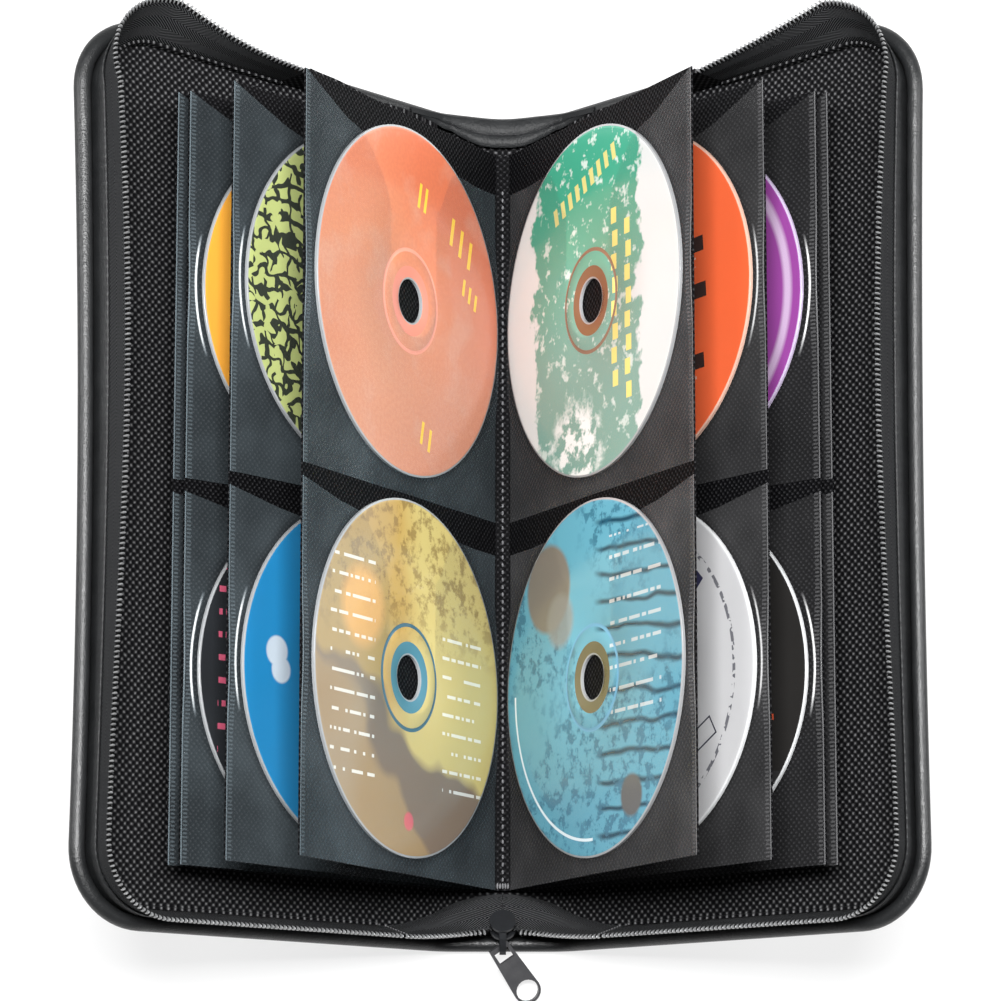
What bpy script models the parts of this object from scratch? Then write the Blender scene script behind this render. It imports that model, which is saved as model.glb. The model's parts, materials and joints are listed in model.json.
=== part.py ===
"""CD storage case: a zip-round wallet lying open on its spine, with eight
disc leaves fanned between its two padded covers.

The frame: +Z is up, +Y runs along the spine towards the top of the case, and
the zip slider sits at the -Y end. The origin is the middle of the spine's flat
underside. Covers and leaves are drawn flat in their own frames (X away from
the hinge, Y along it, Z towards the middle of the case) and each hangs from an
empty on its hinge line.
"""
import math

import bpy
import bmesh
from mathutils import Vector

MM = 0.001
TOUCH = 0.3 * MM                 # running gap between pieces that touch

# Case
END_ROOM = 20.5 * MM             # leaves to the padded rim at top and bottom
SIDE_ROOM = 23.1 * MM            # and at the side
SPINE_HALF = 22.0 * MM           # hinge lines to the middle
COVER_ANGLE = 52.0               # degrees from upright, case open
CORNER_RADIUS = 27.0 * MM
SKIN = 1.0 * MM
BOARD = 1.6 * MM
LINING = 0.8 * MM
RIM_RADIUS = 2.6 * MM            # padded rim round the skin
RIM_LIFT = 2.2 * MM              # rim's centre above the skin's middle plane
SKIN_SETBACK = 0.7 * MM          # skin edge to the hinge line
BOARD_SETBACK = 4.2 * MM         # stiff layers to the hinge line
CORNER_STEPS = 8

# Zip wall, all in distance in from the rim and height above the skin
LINING_GAP = 0.05 * MM           # lining wall behind the tape's own gap
TAPE_CLOTH = 0.8 * MM
STRIP_HEIGHT = 5.6 * MM
STRIP_VINYL = 0.5 * MM
TEETH_WIDTH = 2.6 * MM
TEETH_HEIGHT = 2.3 * MM
WALL_TOP = 21.6 * MM             # teeth crest above the skin's middle plane
WALL_START = 30.0 * MM           # where the stiff wall begins beside the spine
ZIP_END = 72.0 * MM              # zip end on the top edge, from the hinge

# How far the crest of the soft wall leans in from its foot
LEAN_BOTTOM = -4.6 * MM          # and at both ends of the side
LEAN_SIDE = 0.2 * MM             # above the middle of the side
LEAN_TOP = -11.5 * MM
LEAN_ZIP_END = 0.2 * MM
SIDE_SKEW = 1.35                 # exponent that puts LEAN_SIDE above the middle
TOP_RISE = 5.0 * MM              # how much longer the outer edge is at the top
TOP_SLANT = 10.0 * MM            # how far the top runs down to the spine
TOP_STEPS = 9
SIDE_STEPS = 14

# End gussets
ZIP_DROP = 3.2 * MM              # how far the zip is drawn in at the slider
FOOT_ROOM = 1.6 * MM             # the tape's sewn edge there to the leaves
GUSSET_RISE = 13.5 * MM          # zip's edge over the spine
GUSSET_STEPS = 12
TOP_GUSSET_BEND = 0.9            # exponent of the top gusset's sagging edge
GUSSET_TIP = 6.5 * MM            # where the top gusset ends, from the hinge
GUSSET_HEM = 1.5 * MM
FACING_WIDTH = 6.0 * MM          # vinyl turned in over the spine's top end

# Leaves
LEAF_COUNT = 4                   # on each side
BACKING = 0.5 * MM
FILM = 0.25 * MM
LEAF_PITCH = 3.8 * MM            # hinge line spacing across the spine
FOLD_STEP = 1.0 * MM             # one folded sheet and its share of the stack
LEAF_FOOT = 0.6 * MM             # backing edge to its hinge line
LEAF_CLEARANCE = 0.2 * MM        # innermost pockets of the two sides, half
LEFT_ANGLES = (29.4, 40.8, 48.1, 48.3)
RIGHT_ANGLES = (27.9, 39.1, 48.1, 48.3)

# Discs and pockets
DISC_RADIUS = 60.0 * MM
HOLE_RADIUS = 7.5 * MM
DISC = 1.2 * MM
DISC_FOOT = 1.3 * MM             # disc edge to the hinge line
DISC_ROOM = 1.7 * MM             # disc edge to the weld
DISC_SPACING = 8.4 * MM          # between the two discs of a leaf
DISC_MARGIN = 5.3 * MM           # discs to the leaf's upper and lower edges
DISC_SEGMENTS = 36
WELD = 4.0 * MM                  # welded margin of a pocket
NOTCH_RADIUS = 15.0 * MM         # thumb notch over the disc's hub
NOTCH_OFFSET = 1.7 * MM
NOTCH_DEPTH = 12.0 * MM
NOTCH_STEPS = 8
OUTER_LIP = 45.0 * MM            # notch's outer side above the disc's middle
OUTER_LIP_RUN = 5.0 * MM
INNER_LIP = 33.0 * MM            # and its inner side
INNER_LIP_RUN = 6.0 * MM
INNER_LIP_RISE = 7.5 * MM
SHOULDER = 50.5 * MM             # film's upper edge above the disc's middle
MOUTH_GAP = 4.4 * MM             # between the upper film and the lower pocket's film
FILLED_LEAVES = (1, 2, 3)

# Zip slider and puller
SLIDER_RADIUS = 4.5 * MM
SLIDER_PLATE = 1.2 * MM
SLIDER_GAP = 3.2 * MM            # room for the teeth between its two plates
SLIDER_SEAT = 3.6 * MM           # slider's middle to the zip's edge
POST_HALF = 1.3 * MM
POST_REACH = 4.2 * MM            # from the slider's middle
SLIDER_STEPS = 20
BAIL_ROOT = 3.2 * MM             # bail's middle from the slider's
BAIL_REACH = 6.0 * MM
BAIL_RISE = 3.2 * MM
BAIL_LEG = 2.2 * MM
BAIL_TILT = 20.0                 # degrees below level
BAIL_HALF = 1.1 * MM
BAIL_STRAP = 0.9 * MM
BAIL_STEPS = 8
PULLER_LENGTH = 23.0 * MM        # crossbar to tip
PULLER_WIDTH = 7.2 * MM
PULLER_END_RADIUS = 4.7 * MM
PULLER_END_STEPS = 12
PULLER_HOLE = 3.9 * MM
PULLER_THICKNESS = 1.5 * MM
CROSSBAR = 0.9 * MM              # half of the bar that hangs in the bail
WINDOW_HALF = 2.7 * MM
WINDOW_END = 5.0 * MM
PULLER_SHIFT = 1.2 * MM          # crossbar slid along in the bail
PULLER_SKEW = 35.0               # degrees sideways
FLOOR_GAP = 0.4 * MM             # puller tip above the floor

RIM_SETBACK = RIM_LIFT + RIM_RADIUS + TOUCH
COVER_THICKNESS = SKIN + BOARD + LINING + 2 * TOUCH
HINGE_HEIGHT = SKIN / 2
DISC_CENTRE = DISC_FOOT + DISC_RADIUS
DISC_PITCH = 2 * DISC_RADIUS + DISC_SPACING
LEAF_WIDTH = DISC_CENTRE + DISC_RADIUS + DISC_ROOM + WELD
LEAF_HEIGHT = DISC_PITCH + 2 * DISC_RADIUS + 2 * DISC_MARGIN
CASE_LENGTH = LEAF_HEIGHT + 2 * END_ROOM
COVER_WIDTH = LEAF_WIDTH + SIDE_ROOM
DISC_LEVEL = BACKING / 2 + TOUCH
FILM_LEVEL = DISC_LEVEL + DISC + TOUCH
LEAF_FRONT = FILM_LEVEL + FILM
FIRST_HINGE = LEAF_FRONT + LEAF_CLEARANCE
STRIP_INSET = 2 * RIM_RADIUS + TOUCH
TAPE_INSET = STRIP_INSET + STRIP_VINYL + TOUCH
FOOT_DROP = END_ROOM - TAPE_INSET - FOOT_ROOM
WALL_SEAT = SKIN / 2 + TOUCH
WALL_FOOT = RIM_LIFT + RIM_RADIUS + TOUCH
TAPE_TOP = WALL_TOP - TEETH_HEIGHT - TOUCH
WALL_HEIGHTS = [WALL_FOOT, WALL_FOOT + STRIP_HEIGHT, (WALL_FOOT + STRIP_HEIGHT + TAPE_TOP) / 2, TAPE_TOP]
LINING_INSET = TAPE_INSET + TAPE_CLOTH + TOUCH
HALF_LENGTH = CASE_LENGTH / 2
GUSSET_TAPE_SHARE = 1.0 - (TEETH_HEIGHT + 2 * TOUCH) / WALL_TOP

COLOURS = {
    "vinyl": ((0.018, 0.018, 0.020, 1.0), 0.42, 0.0),
    "board": ((0.20, 0.17, 0.13, 1.0), 0.9, 0.0),
    "lining": ((0.035, 0.035, 0.04, 1.0), 0.85, 0.0),
    "tape": ((0.02, 0.02, 0.022, 1.0), 0.8, 0.0),
    "teeth": ((0.06, 0.06, 0.065, 1.0), 0.3, 0.0),
    "thread": ((0.05, 0.05, 0.055, 1.0), 0.7, 0.0),
    "backing": ((0.03, 0.03, 0.033, 1.0), 0.8, 0.0),
    "film": ((0.62, 0.66, 0.68, 1.0), 0.12, 0.0),
    "metal": ((0.05, 0.05, 0.055, 1.0), 0.35, 0.7),
}
DISC_COLOURS = {
    ("left", 1, "upper"): (0.85, 0.25, 0.18), ("left", 1, "lower"): (0.80, 0.58, 0.10),
    ("left", 2, "upper"): (0.72, 0.75, 0.10), ("left", 2, "lower"): (0.06, 0.20, 0.62),
    ("left", 3, "upper"): (0.85, 0.42, 0.06), ("left", 3, "lower"): (0.03, 0.03, 0.035),
    ("right", 1, "upper"): (0.05, 0.45, 0.32), ("right", 1, "lower"): (0.30, 0.56, 0.74),
    ("right", 2, "upper"): (0.78, 0.16, 0.05), ("right", 2, "lower"): (0.55, 0.56, 0.58),
    ("right", 3, "upper"): (0.28, 0.09, 0.42), ("right", 3, "lower"): (0.03, 0.03, 0.035),
}


def clear_scene():
    for obj in list(bpy.data.objects):
        bpy.data.objects.remove(obj, do_unlink=True)


def material(name, colour, roughness, metallic):
    made = bpy.data.materials.new(name)
    made.use_nodes = True
    shader = made.node_tree.nodes["Principled BSDF"]
    shader.inputs["Base Color"].default_value = colour
    shader.inputs["Roughness"].default_value = roughness
    shader.inputs["Metallic"].default_value = metallic
    return made


def finish(kind):
    """The shared material of a kind of piece, made on first use."""
    if kind in bpy.data.materials:
        return bpy.data.materials[kind]
    return material(kind, *COLOURS[kind])


def add_object(name, mesh, parent, paint):
    obj = bpy.data.objects.new(name, mesh)
    bpy.context.scene.collection.objects.link(obj)
    obj.parent = parent
    if not obj.data.materials:
        obj.data.materials.append(paint)
    return obj


def mesh_from(name, points, faces):
    """A closed mesh with its faces turned out."""
    mesh = bpy.data.meshes.new(name)
    mesh.from_pydata([tuple(p) for p in points], [], faces)
    shape = bmesh.new()
    shape.from_mesh(mesh)
    bmesh.ops.recalc_face_normals(shape, faces=shape.faces)
    shape.to_mesh(mesh)
    shape.free()
    return mesh


def loft(name, rings):
    """A solid through rings of the same number of points, capped at both ends."""
    count = len(rings[0])
    points = [p for ring in rings for p in ring]
    faces = [list(range(count)), list(range(len(points) - count, len(points)))]
    for step in range(len(rings) - 1):
        low = step * count
        high = low + count
        for i in range(count):
            j = (i + 1) % count
            faces.append([low + i, low + j, high + j, high + i])
    return mesh_from(name, points, faces)


def plate(name, outline, bottom, top):
    """A flat outline given thickness."""
    return loft(name, [[(x, y, z) for x, y in outline] for z in (bottom, top)])


def block(name, low, high):
    outline = [(low[0], low[1]), (high[0], low[1]), (high[0], high[1]), (low[0], high[1])]
    return plate(name, outline, low[2], high[2])


def circle(radius, segments, centre=(0.0, 0.0)):
    turns = [2 * math.pi * i / segments for i in range(segments)]
    return [(centre[0] + radius * math.cos(a), centre[1] + radius * math.sin(a)) for a in turns]


def combine(name, first, others, operation="UNION"):
    """One mesh from several by exact Booleans."""
    body = bpy.data.objects.new(name + "_body", first)
    bpy.context.scene.collection.objects.link(body)
    helpers = []
    for other in others:
        helper = bpy.data.objects.new(name + "_tool", other)
        bpy.context.scene.collection.objects.link(helper)
        helpers.append(helper)
        change = body.modifiers.new("join", "BOOLEAN")
        change.operation = operation
        change.solver = "EXACT"
        change.object = helper
    bpy.context.view_layer.update()
    graph = bpy.context.evaluated_depsgraph_get()
    result = bpy.data.meshes.new_from_object(body.evaluated_get(graph))
    result.name = name
    for temporary in [body] + helpers:
        bpy.data.objects.remove(temporary, do_unlink=True)
    return result


def hinge_frame(name, side, across, height, angle):
    """An empty on a hinge line, tilted so that its X runs out along the panel."""
    empty = bpy.data.objects.new(name, None)
    bpy.context.scene.collection.objects.link(empty)
    empty.location = (side * across, 0.0, height)
    empty.rotation_euler = (0.0, -side * math.radians(90.0 - angle), 0.0)
    return empty


def on_side(points, side):
    """Points of the right half, mirrored for the left one."""
    return [(side * p[0],) + tuple(p[1:]) for p in points]


def smooth(t):
    return t * t * (3.0 - 2.0 * t)


def top_edge(along):
    """The top edge above the middle, which runs down to the shorter spine."""
    straight = COVER_WIDTH - CORNER_RADIUS
    return HALF_LENGTH + TOP_RISE - TOP_SLANT * (1.0 - max(along, 0.0) / straight)


def corner_stations(centre, first, lean_from, lean_to):
    stations = []
    for step in range(CORNER_STEPS + 1):
        share = step / CORNER_STEPS
        turn = math.radians(first + 90.0 * share)
        across, up = math.cos(turn), math.sin(turn)
        outer = (COVER_WIDTH - CORNER_RADIUS * (1.0 - across), centre + CORNER_RADIUS * up)
        stations.append((outer, (-across, -up), lean_from + (lean_to - lean_from) * share))
    return stations


def rim_stations(bottom_start, top_start):
    """Stations along the cover's edge, from beside the spine at the bottom,
    round the two outer corners, to beside it at the top. Each has its outer
    point, the way in, and how far the crest of the soft wall leans in there."""
    straight = COVER_WIDTH - CORNER_RADIUS
    low_corner = CORNER_RADIUS - HALF_LENGTH
    high_corner = HALF_LENGTH + TOP_RISE - CORNER_RADIUS
    stations = [((bottom_start, -HALF_LENGTH), (0.0, 1.0), LEAN_BOTTOM)]
    stations += corner_stations(low_corner, -90.0, LEAN_BOTTOM, LEAN_BOTTOM)
    for step in range(1, SIDE_STEPS):
        share = step / SIDE_STEPS
        swell = math.sin(math.pi * share ** SIDE_SKEW)
        stations.append(((COVER_WIDTH, low_corner + (high_corner - low_corner) * share), (-1.0, 0.0),
                         LEAN_BOTTOM + (LEAN_SIDE - LEAN_BOTTOM) * swell))
    stations += corner_stations(high_corner, 0.0, LEAN_BOTTOM, LEAN_TOP)
    for step in range(1, TOP_STEPS + 1):
        along = straight + (top_start - straight) * step / TOP_STEPS
        share = min((straight - along) / (straight - ZIP_END), 1.0)
        stations.append(((along, top_edge(along)), (0.0, -1.0), LEAN_TOP + (LEAN_ZIP_END - LEAN_TOP) * share))
    return stations


def wall_tilt(height):
    """Share of the lean that a point of the wall takes, by its height."""
    return max(0.0, height - WALL_FOOT) / (WALL_TOP - WALL_FOOT)


def rim_sweep(name, side, profile, bottom_start, top_start):
    """A closed (inset, height) profile carried along the cover's edge."""
    rings = []
    for outer, way_in, lean in rim_stations(bottom_start, top_start):
        ring = []
        for inset, height in profile:
            reach = inset + lean * wall_tilt(height)
            ring.append((outer[0] + way_in[0] * reach, outer[1] + way_in[1] * reach, height))
        rings.append(on_side(ring, side))
    return loft(name, rings)


def wall_profile(inset, thickness, heights):
    """An upright wall, with a ring of points at each height."""
    return ([(inset, height) for height in heights]
            + [(inset + thickness, height) for height in reversed(heights)])


def panel_outline(side, start, inset):
    stations = rim_stations(start, start)
    return on_side([(outer[0] + way[0] * inset, outer[1] + way[1] * inset) for outer, way, _ in stations], side)


def build_cover(side, label):
    """One cover: padded skin, board, lining and its share of the zip."""
    frame = hinge_frame(label + "_cover_hinge_line", side, SPINE_HALF, HINGE_HEIGHT, COVER_ANGLE)
    skin_top = SKIN / 2
    board_bottom = skin_top + TOUCH
    lining_bottom = board_bottom + BOARD + TOUCH
    lining_top = lining_bottom + LINING

    rim = [(x, y + RIM_LIFT) for x, y in circle(RIM_RADIUS, 10, (RIM_RADIUS, 0.0))]
    skin = combine(
        label + "_cover_skin",
        plate("sheet", panel_outline(side, SKIN_SETBACK, RIM_RADIUS), -skin_top, skin_top),
        [rim_sweep("rim", side, rim, RIM_SETBACK, RIM_SETBACK)])
    add_object(label + "_cover_skin", skin, frame, finish("vinyl"))

    board = plate("board", panel_outline(side, BOARD_SETBACK, LINING_INSET), board_bottom, board_bottom + BOARD)
    add_object(label + "_cover_board", board, frame, finish("board"))

    lining = combine(
        label + "_cover_lining",
        plate("sheet", panel_outline(side, BOARD_SETBACK, LINING_INSET), lining_bottom, lining_top),
        [rim_sweep("wall", side,
                   wall_profile(LINING_INSET + LINING_GAP, LINING, [lining_bottom + LINING / 3] + WALL_HEIGHTS),
                   WALL_START, ZIP_END)])
    add_object(label + "_cover_lining", lining, frame, finish("lining"))

    heights = [WALL_SEAT] + WALL_HEIGHTS
    strip = rim_sweep("strip", side, wall_profile(STRIP_INSET, STRIP_VINYL, heights[:3]), WALL_START, ZIP_END)
    add_object(label + "_edge_strip", strip, frame, finish("vinyl"))

    tape = rim_sweep("tape", side, wall_profile(TAPE_INSET, TAPE_CLOTH, heights), WALL_START, ZIP_END)
    add_object(label + "_zip_tape", tape, frame, finish("tape"))

    middle = TAPE_INSET + TAPE_CLOTH / 2
    teeth = rim_sweep("teeth", side,
                      [(middle - TEETH_WIDTH / 2, TAPE_TOP + TOUCH), (middle + TEETH_WIDTH / 2, TAPE_TOP + TOUCH),
                       (middle + TEETH_WIDTH / 2, WALL_TOP - TEETH_HEIGHT / 3),
                       (middle + TEETH_WIDTH / 4, WALL_TOP), (middle - TEETH_WIDTH / 4, WALL_TOP),
                       (middle - TEETH_WIDTH / 2, WALL_TOP - TEETH_HEIGHT / 3)],
                      WALL_START, ZIP_END)
    add_object(label + "_zip_teeth", teeth, frame, finish("teeth"))


def build_spine():
    """The flat back between the covers, which the whole case lies on."""
    half = SPINE_HALF - SKIN_SETBACK
    rim_half = SPINE_HALF - RIM_SETBACK
    top = top_edge(0.0)
    ends = []
    for centre in (RIM_RADIUS - HALF_LENGTH, top - RIM_RADIUS):
        section = [(centre + y, HINGE_HEIGHT + RIM_LIFT + z) for y, z in circle(RIM_RADIUS, 10)]
        ends.append(loft("rim", [[(x, y, z) for y, z in section] for x in (-rim_half, rim_half)]))
    skin = combine("spine_skin", block("sheet", (-half, RIM_RADIUS - HALF_LENGTH, 0.0),
                                       (half, top - RIM_RADIUS, SKIN)), ends)
    add_object("spine_skin", skin, None, finish("vinyl"))

    inner_half = SPINE_HALF - BOARD_SETBACK
    inner_bottom = LINING_INSET - HALF_LENGTH
    inner_top = top - LINING_INSET
    board_bottom = SKIN + TOUCH
    board = block("board", (-inner_half, inner_bottom, board_bottom),
                  (inner_half, inner_top, board_bottom + BOARD))
    add_object("spine_board", board, None, finish("board"))
    lining_bottom = board_bottom + BOARD + TOUCH
    lining = block("lining", (-inner_half, inner_bottom, lining_bottom),
                   (inner_half, inner_top, lining_bottom + LINING))
    add_object("spine_lining", lining, None, finish("lining"))
    facing_bottom = COVER_THICKNESS + TOUCH
    facing_top = top - 2 * RIM_RADIUS - TOUCH
    facing = block("facing", (-rim_half, facing_top - FACING_WIDTH, facing_bottom),
                   (rim_half, facing_top, facing_bottom + LINING))
    add_object("spine_top_facing", facing, None, finish("vinyl"))


def leaf_hinge(number):
    """Across and up from the middle of the spine to a leaf's hinge line.
    Leaf 1 is the innermost; its folded sheet lies on top of the others."""
    across = FIRST_HINGE + (number - 1) * LEAF_PITCH
    height = COVER_THICKNESS + TOUCH + (LEAF_COUNT - number + 0.5) * FOLD_STEP
    return across, height


def build_binding():
    """The folds of the four sheets, stacked and stitched down the middle."""
    half = LEAF_HEIGHT / 2
    outline = []
    for number in range(LEAF_COUNT, 0, -1):
        across, height = leaf_hinge(number)
        edge = across - TOUCH
        outline += [(edge, height - FOLD_STEP / 2), (edge, height + FOLD_STEP / 2)]
    top = outline[-1][1] - FOLD_STEP / 2
    outline[-1] = (outline[-1][0], top)
    outline += [(-x, z) for x, z in reversed(outline)]
    stack = loft("stack", [[(x, y, z) for x, z in outline] for y in (-half, half)])
    add_object("leaf_fold_stack", stack, None, finish("backing"))
    thread = block("thread", (-TOUCH, -half + WELD, top + TOUCH), (TOUCH, half - WELD, top + 2 * TOUCH))
    add_object("binding_thread", thread, None, finish("thread"))


def pocket_film_outline(top, bottom, centre):
    """One pocket's film: a slanted outer shoulder, a thumb notch down to the
    hub, and an inner shoulder that drops to meet it."""
    outer = LEAF_WIDTH
    inner = 2 * LEAF_FOOT
    notch_x = DISC_CENTRE - NOTCH_OFFSET
    notch_y = centre - NOTCH_DEPTH + NOTCH_RADIUS
    outline = [(inner, bottom), (outer, bottom), (outer, top),
               (DISC_CENTRE + DISC_RADIUS / 2, centre + SHOULDER),
               (notch_x + NOTCH_RADIUS + OUTER_LIP_RUN, centre + OUTER_LIP - NOTCH_RADIUS)]
    for i in range(NOTCH_STEPS + 1):
        turn = math.radians(-180.0 * i / NOTCH_STEPS)
        outline.append((notch_x + NOTCH_RADIUS * math.cos(turn), notch_y + NOTCH_RADIUS * math.sin(turn)))
    outline += [(notch_x - NOTCH_RADIUS, centre + INNER_LIP),
                (notch_x - NOTCH_RADIUS - INNER_LIP_RUN, centre + INNER_LIP + INNER_LIP_RISE),
                (inner, centre + SHOULDER)]
    return outline


def leaf_meshes(side):
    """The backing and the pair of film pockets, shared by all leaves of a side."""
    half = LEAF_HEIGHT / 2
    backing = block("backing", *sorted_corners(side, (LEAF_FOOT, -half, -BACKING / 2),
                                               (LEAF_WIDTH, half, BACKING / 2)))
    film_top = FILM_LEVEL + FILM
    upper_bottom = -MOUTH_GAP / 2
    upper = pocket_film_outline(half, upper_bottom, DISC_PITCH / 2)
    lower = pocket_film_outline(upper_bottom - MOUTH_GAP, -half, -DISC_PITCH / 2)
    films = [plate("film", on_side(outline, side), FILM_LEVEL, film_top) for outline in (upper, lower)]
    weld_low = BACKING / 2 + TOUCH
    weld_high = FILM_LEVEL + FILM / 2
    edge = LEAF_WIDTH
    foot = DISC_CENTRE
    comb = [(foot, -half), (edge, -half), (edge, half), (edge - WELD, half),
            (edge - WELD, MOUTH_GAP / 3), (foot, MOUTH_GAP / 3), (foot, upper_bottom),
            (edge - WELD, upper_bottom), (edge - WELD, -half + WELD), (foot, -half + WELD)]
    welds = plate("welds", on_side(comb, side), weld_low, weld_high)
    pockets = combine(("left" if side < 0 else "right") + "_pockets", welds, films)
    return backing, pockets


def sorted_corners(side, low, high):
    """A block's two corners after mirroring, lowest first."""
    xs = sorted((side * low[0], side * high[0]))
    return (xs[0], low[1], low[2]), (xs[1], high[1], high[2])


def disc_mesh():
    """A disc: a flat ring with its edges left square."""
    outer = circle(DISC_RADIUS, DISC_SEGMENTS)
    inner = circle(HOLE_RADIUS, DISC_SEGMENTS)
    count = DISC_SEGMENTS
    points = [(x, y, z) for z in (0.0, DISC) for ring in (outer, inner) for x, y in ring]
    faces = []
    for i in range(count):
        j = (i + 1) % count
        loops = [i, count + i, 3 * count + i, 2 * count + i]
        nexts = [j, count + j, 3 * count + j, 2 * count + j]
        for a in range(4):
            b = (a + 1) % 4
            faces.append([loops[a], nexts[a], nexts[b], loops[b]])
    return mesh_from("disc", points, faces)


def build_leaves(side, label, angles):
    """Four leaves of one half, each on its own hinge line."""
    backing_mesh, pocket_mesh = leaf_meshes(side)
    for number, angle in enumerate(angles, start=1):
        across, height = leaf_hinge(number)
        name = f"{label}_leaf_{number}"
        frame = hinge_frame(name + "_hinge_line", side, across, height, angle)
        add_object(name + "_backing", backing_mesh.copy(), frame, finish("backing"))
        add_object(name + "_pockets", pocket_mesh.copy(), frame, finish("film"))
        if number not in FILLED_LEAVES:
            continue
        for place, centre in (("upper", DISC_PITCH / 2), ("lower", -DISC_PITCH / 2)):
            colour = DISC_COLOURS[label, number, place]
            paint = material(f"{name}_{place}_label", (*colour, 1.0), 0.3, 0.0)
            disc = add_object(f"{name}_{place}_disc", disc_mesh(), frame, paint)
            disc.location = (side * DISC_CENTRE, centre, DISC_LEVEL)
            disc.data.shade_smooth()
            disc.data.set_sharp_from_angle(angle=math.radians(40.0))


def cover_point(side, along, height):
    """A cover's (distance from the hinge, height above the skin) as world X and Z."""
    lean = math.radians(COVER_ANGLE)
    x = SPINE_HALF + along * math.sin(lean) - height * math.cos(lean)
    z = HINGE_HEIGHT + along * math.cos(lean) + height * math.sin(lean)
    return side * x, z


def build_top_gusset(side, label):
    """Lining cloth from the zip's end down to the spine, sewn to the cover
    only, so that it swings with it."""
    frame = bpy.data.objects[label + "_cover_hinge_line"]
    rings = []
    for step in range(GUSSET_STEPS + 1):
        share = step / GUSSET_STEPS
        along = ZIP_END - TOUCH + (GUSSET_TIP - ZIP_END) * share
        crest = WALL_TOP + (WALL_FOOT + GUSSET_HEM - WALL_TOP) * share ** TOP_GUSSET_BEND
        ring = []
        for inset, height in ((0.0, WALL_SEAT), (TAPE_CLOTH, WALL_SEAT), (TAPE_CLOTH, crest), (0.0, crest)):
            reach = TAPE_INSET + inset + LEAN_ZIP_END * wall_tilt(height)
            ring.append((along, top_edge(along) - reach, height))
        rings.append(on_side(ring, side))
    add_object(label + "_top_gusset", loft("gusset", rings), frame, finish("lining"))


def gusset_edge(side, t):
    """A point of the zip's edge as world X, Y pulled in from the wall, and Z,
    from the stiff wall (t = 0) to the slider (t = 1). It leaves the wall in
    the wall's own direction and is level at the slider."""
    wall_x, wall_z = cover_point(side, WALL_START - TOUCH, WALL_TOP)
    drop = wall_z - HINGE_HEIGHT - GUSSET_RISE
    start_slope = abs(wall_x) / math.tan(math.radians(COVER_ANGLE))
    z = wall_z - drop * smooth(t) - start_slope * t * (1.0 - t) ** 2
    return wall_x * (1.0 - t), LEAN_BOTTOM + ZIP_DROP * smooth(t), z


def gusset_foot(side, t):
    """A point of the gusset's sewn edge, along the cover's rim and the spine."""
    start = WALL_START - TOUCH
    along = start - t * (start + SPINE_HALF)
    clear = WALL_FOOT + TOUCH
    if along > clear:
        return cover_point(side, along, clear)
    corner_x, corner_z = cover_point(side, clear, clear)
    share = (clear - along) / (clear + SPINE_HALF)
    return corner_x * (1.0 - share), corner_z + (HINGE_HEIGHT + clear - corner_z) * share


def gusset_point(side, t, share, depth):
    """share runs from the sewn edge (0) to the zip's edge (1), depth goes in
    from the tape's outer face, square to it."""
    edge_x, edge_in, edge_z = gusset_edge(side, t)
    foot_x, foot_z = gusset_foot(side, t)
    foot_in = FOOT_DROP * smooth(t)
    run, rise = edge_in - foot_in, edge_z - foot_z
    width = math.hypot(run, rise)
    y = TAPE_INSET - HALF_LENGTH + foot_in + run * share + depth * rise / width
    return foot_x + (edge_x - foot_x) * share, y, foot_z + rise * share - depth * run / width


def gusset_band(name, side, low, high, thickness, depth=0.0, last=1.0):
    """A strip of the bottom gusset between two shares of its height."""
    rings = []
    for step in range(GUSSET_STEPS + 1):
        t = last * step / GUSSET_STEPS
        corners = [(low, depth), (low, depth + thickness), (high, depth + thickness), (high, depth)]
        rings.append([gusset_point(side, t, share, d) for share, d in corners])
    middle_gap = TOUCH / 2
    rings[-1] = [(x if abs(x) > middle_gap else side * middle_gap, y, z) for x, y, z in rings[-1]]
    return loft(name, rings)


def build_bottom_gusset(side, label):
    """Zip tape and teeth from the stiff wall to the slider, over the spine's
    end; they fold when the case closes."""
    tape = gusset_band("tape", side, 0.0, GUSSET_TAPE_SHARE, TAPE_CLOTH)
    add_object(label + "_bottom_gusset", tape, None, finish("tape"))
    reach = cover_point(1, WALL_START - TOUCH, WALL_TOP)[0]
    teeth_last = 1.0 - (SLIDER_RADIUS + 2 * TOUCH) / reach
    teeth = gusset_band("teeth", side, 1.0 - TEETH_HEIGHT / WALL_TOP, 1.0, TEETH_WIDTH,
                        depth=-(TEETH_WIDTH - TAPE_CLOTH) / 2, last=teeth_last)
    add_object(label + "_bottom_teeth", teeth, None, finish("teeth"))


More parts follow.
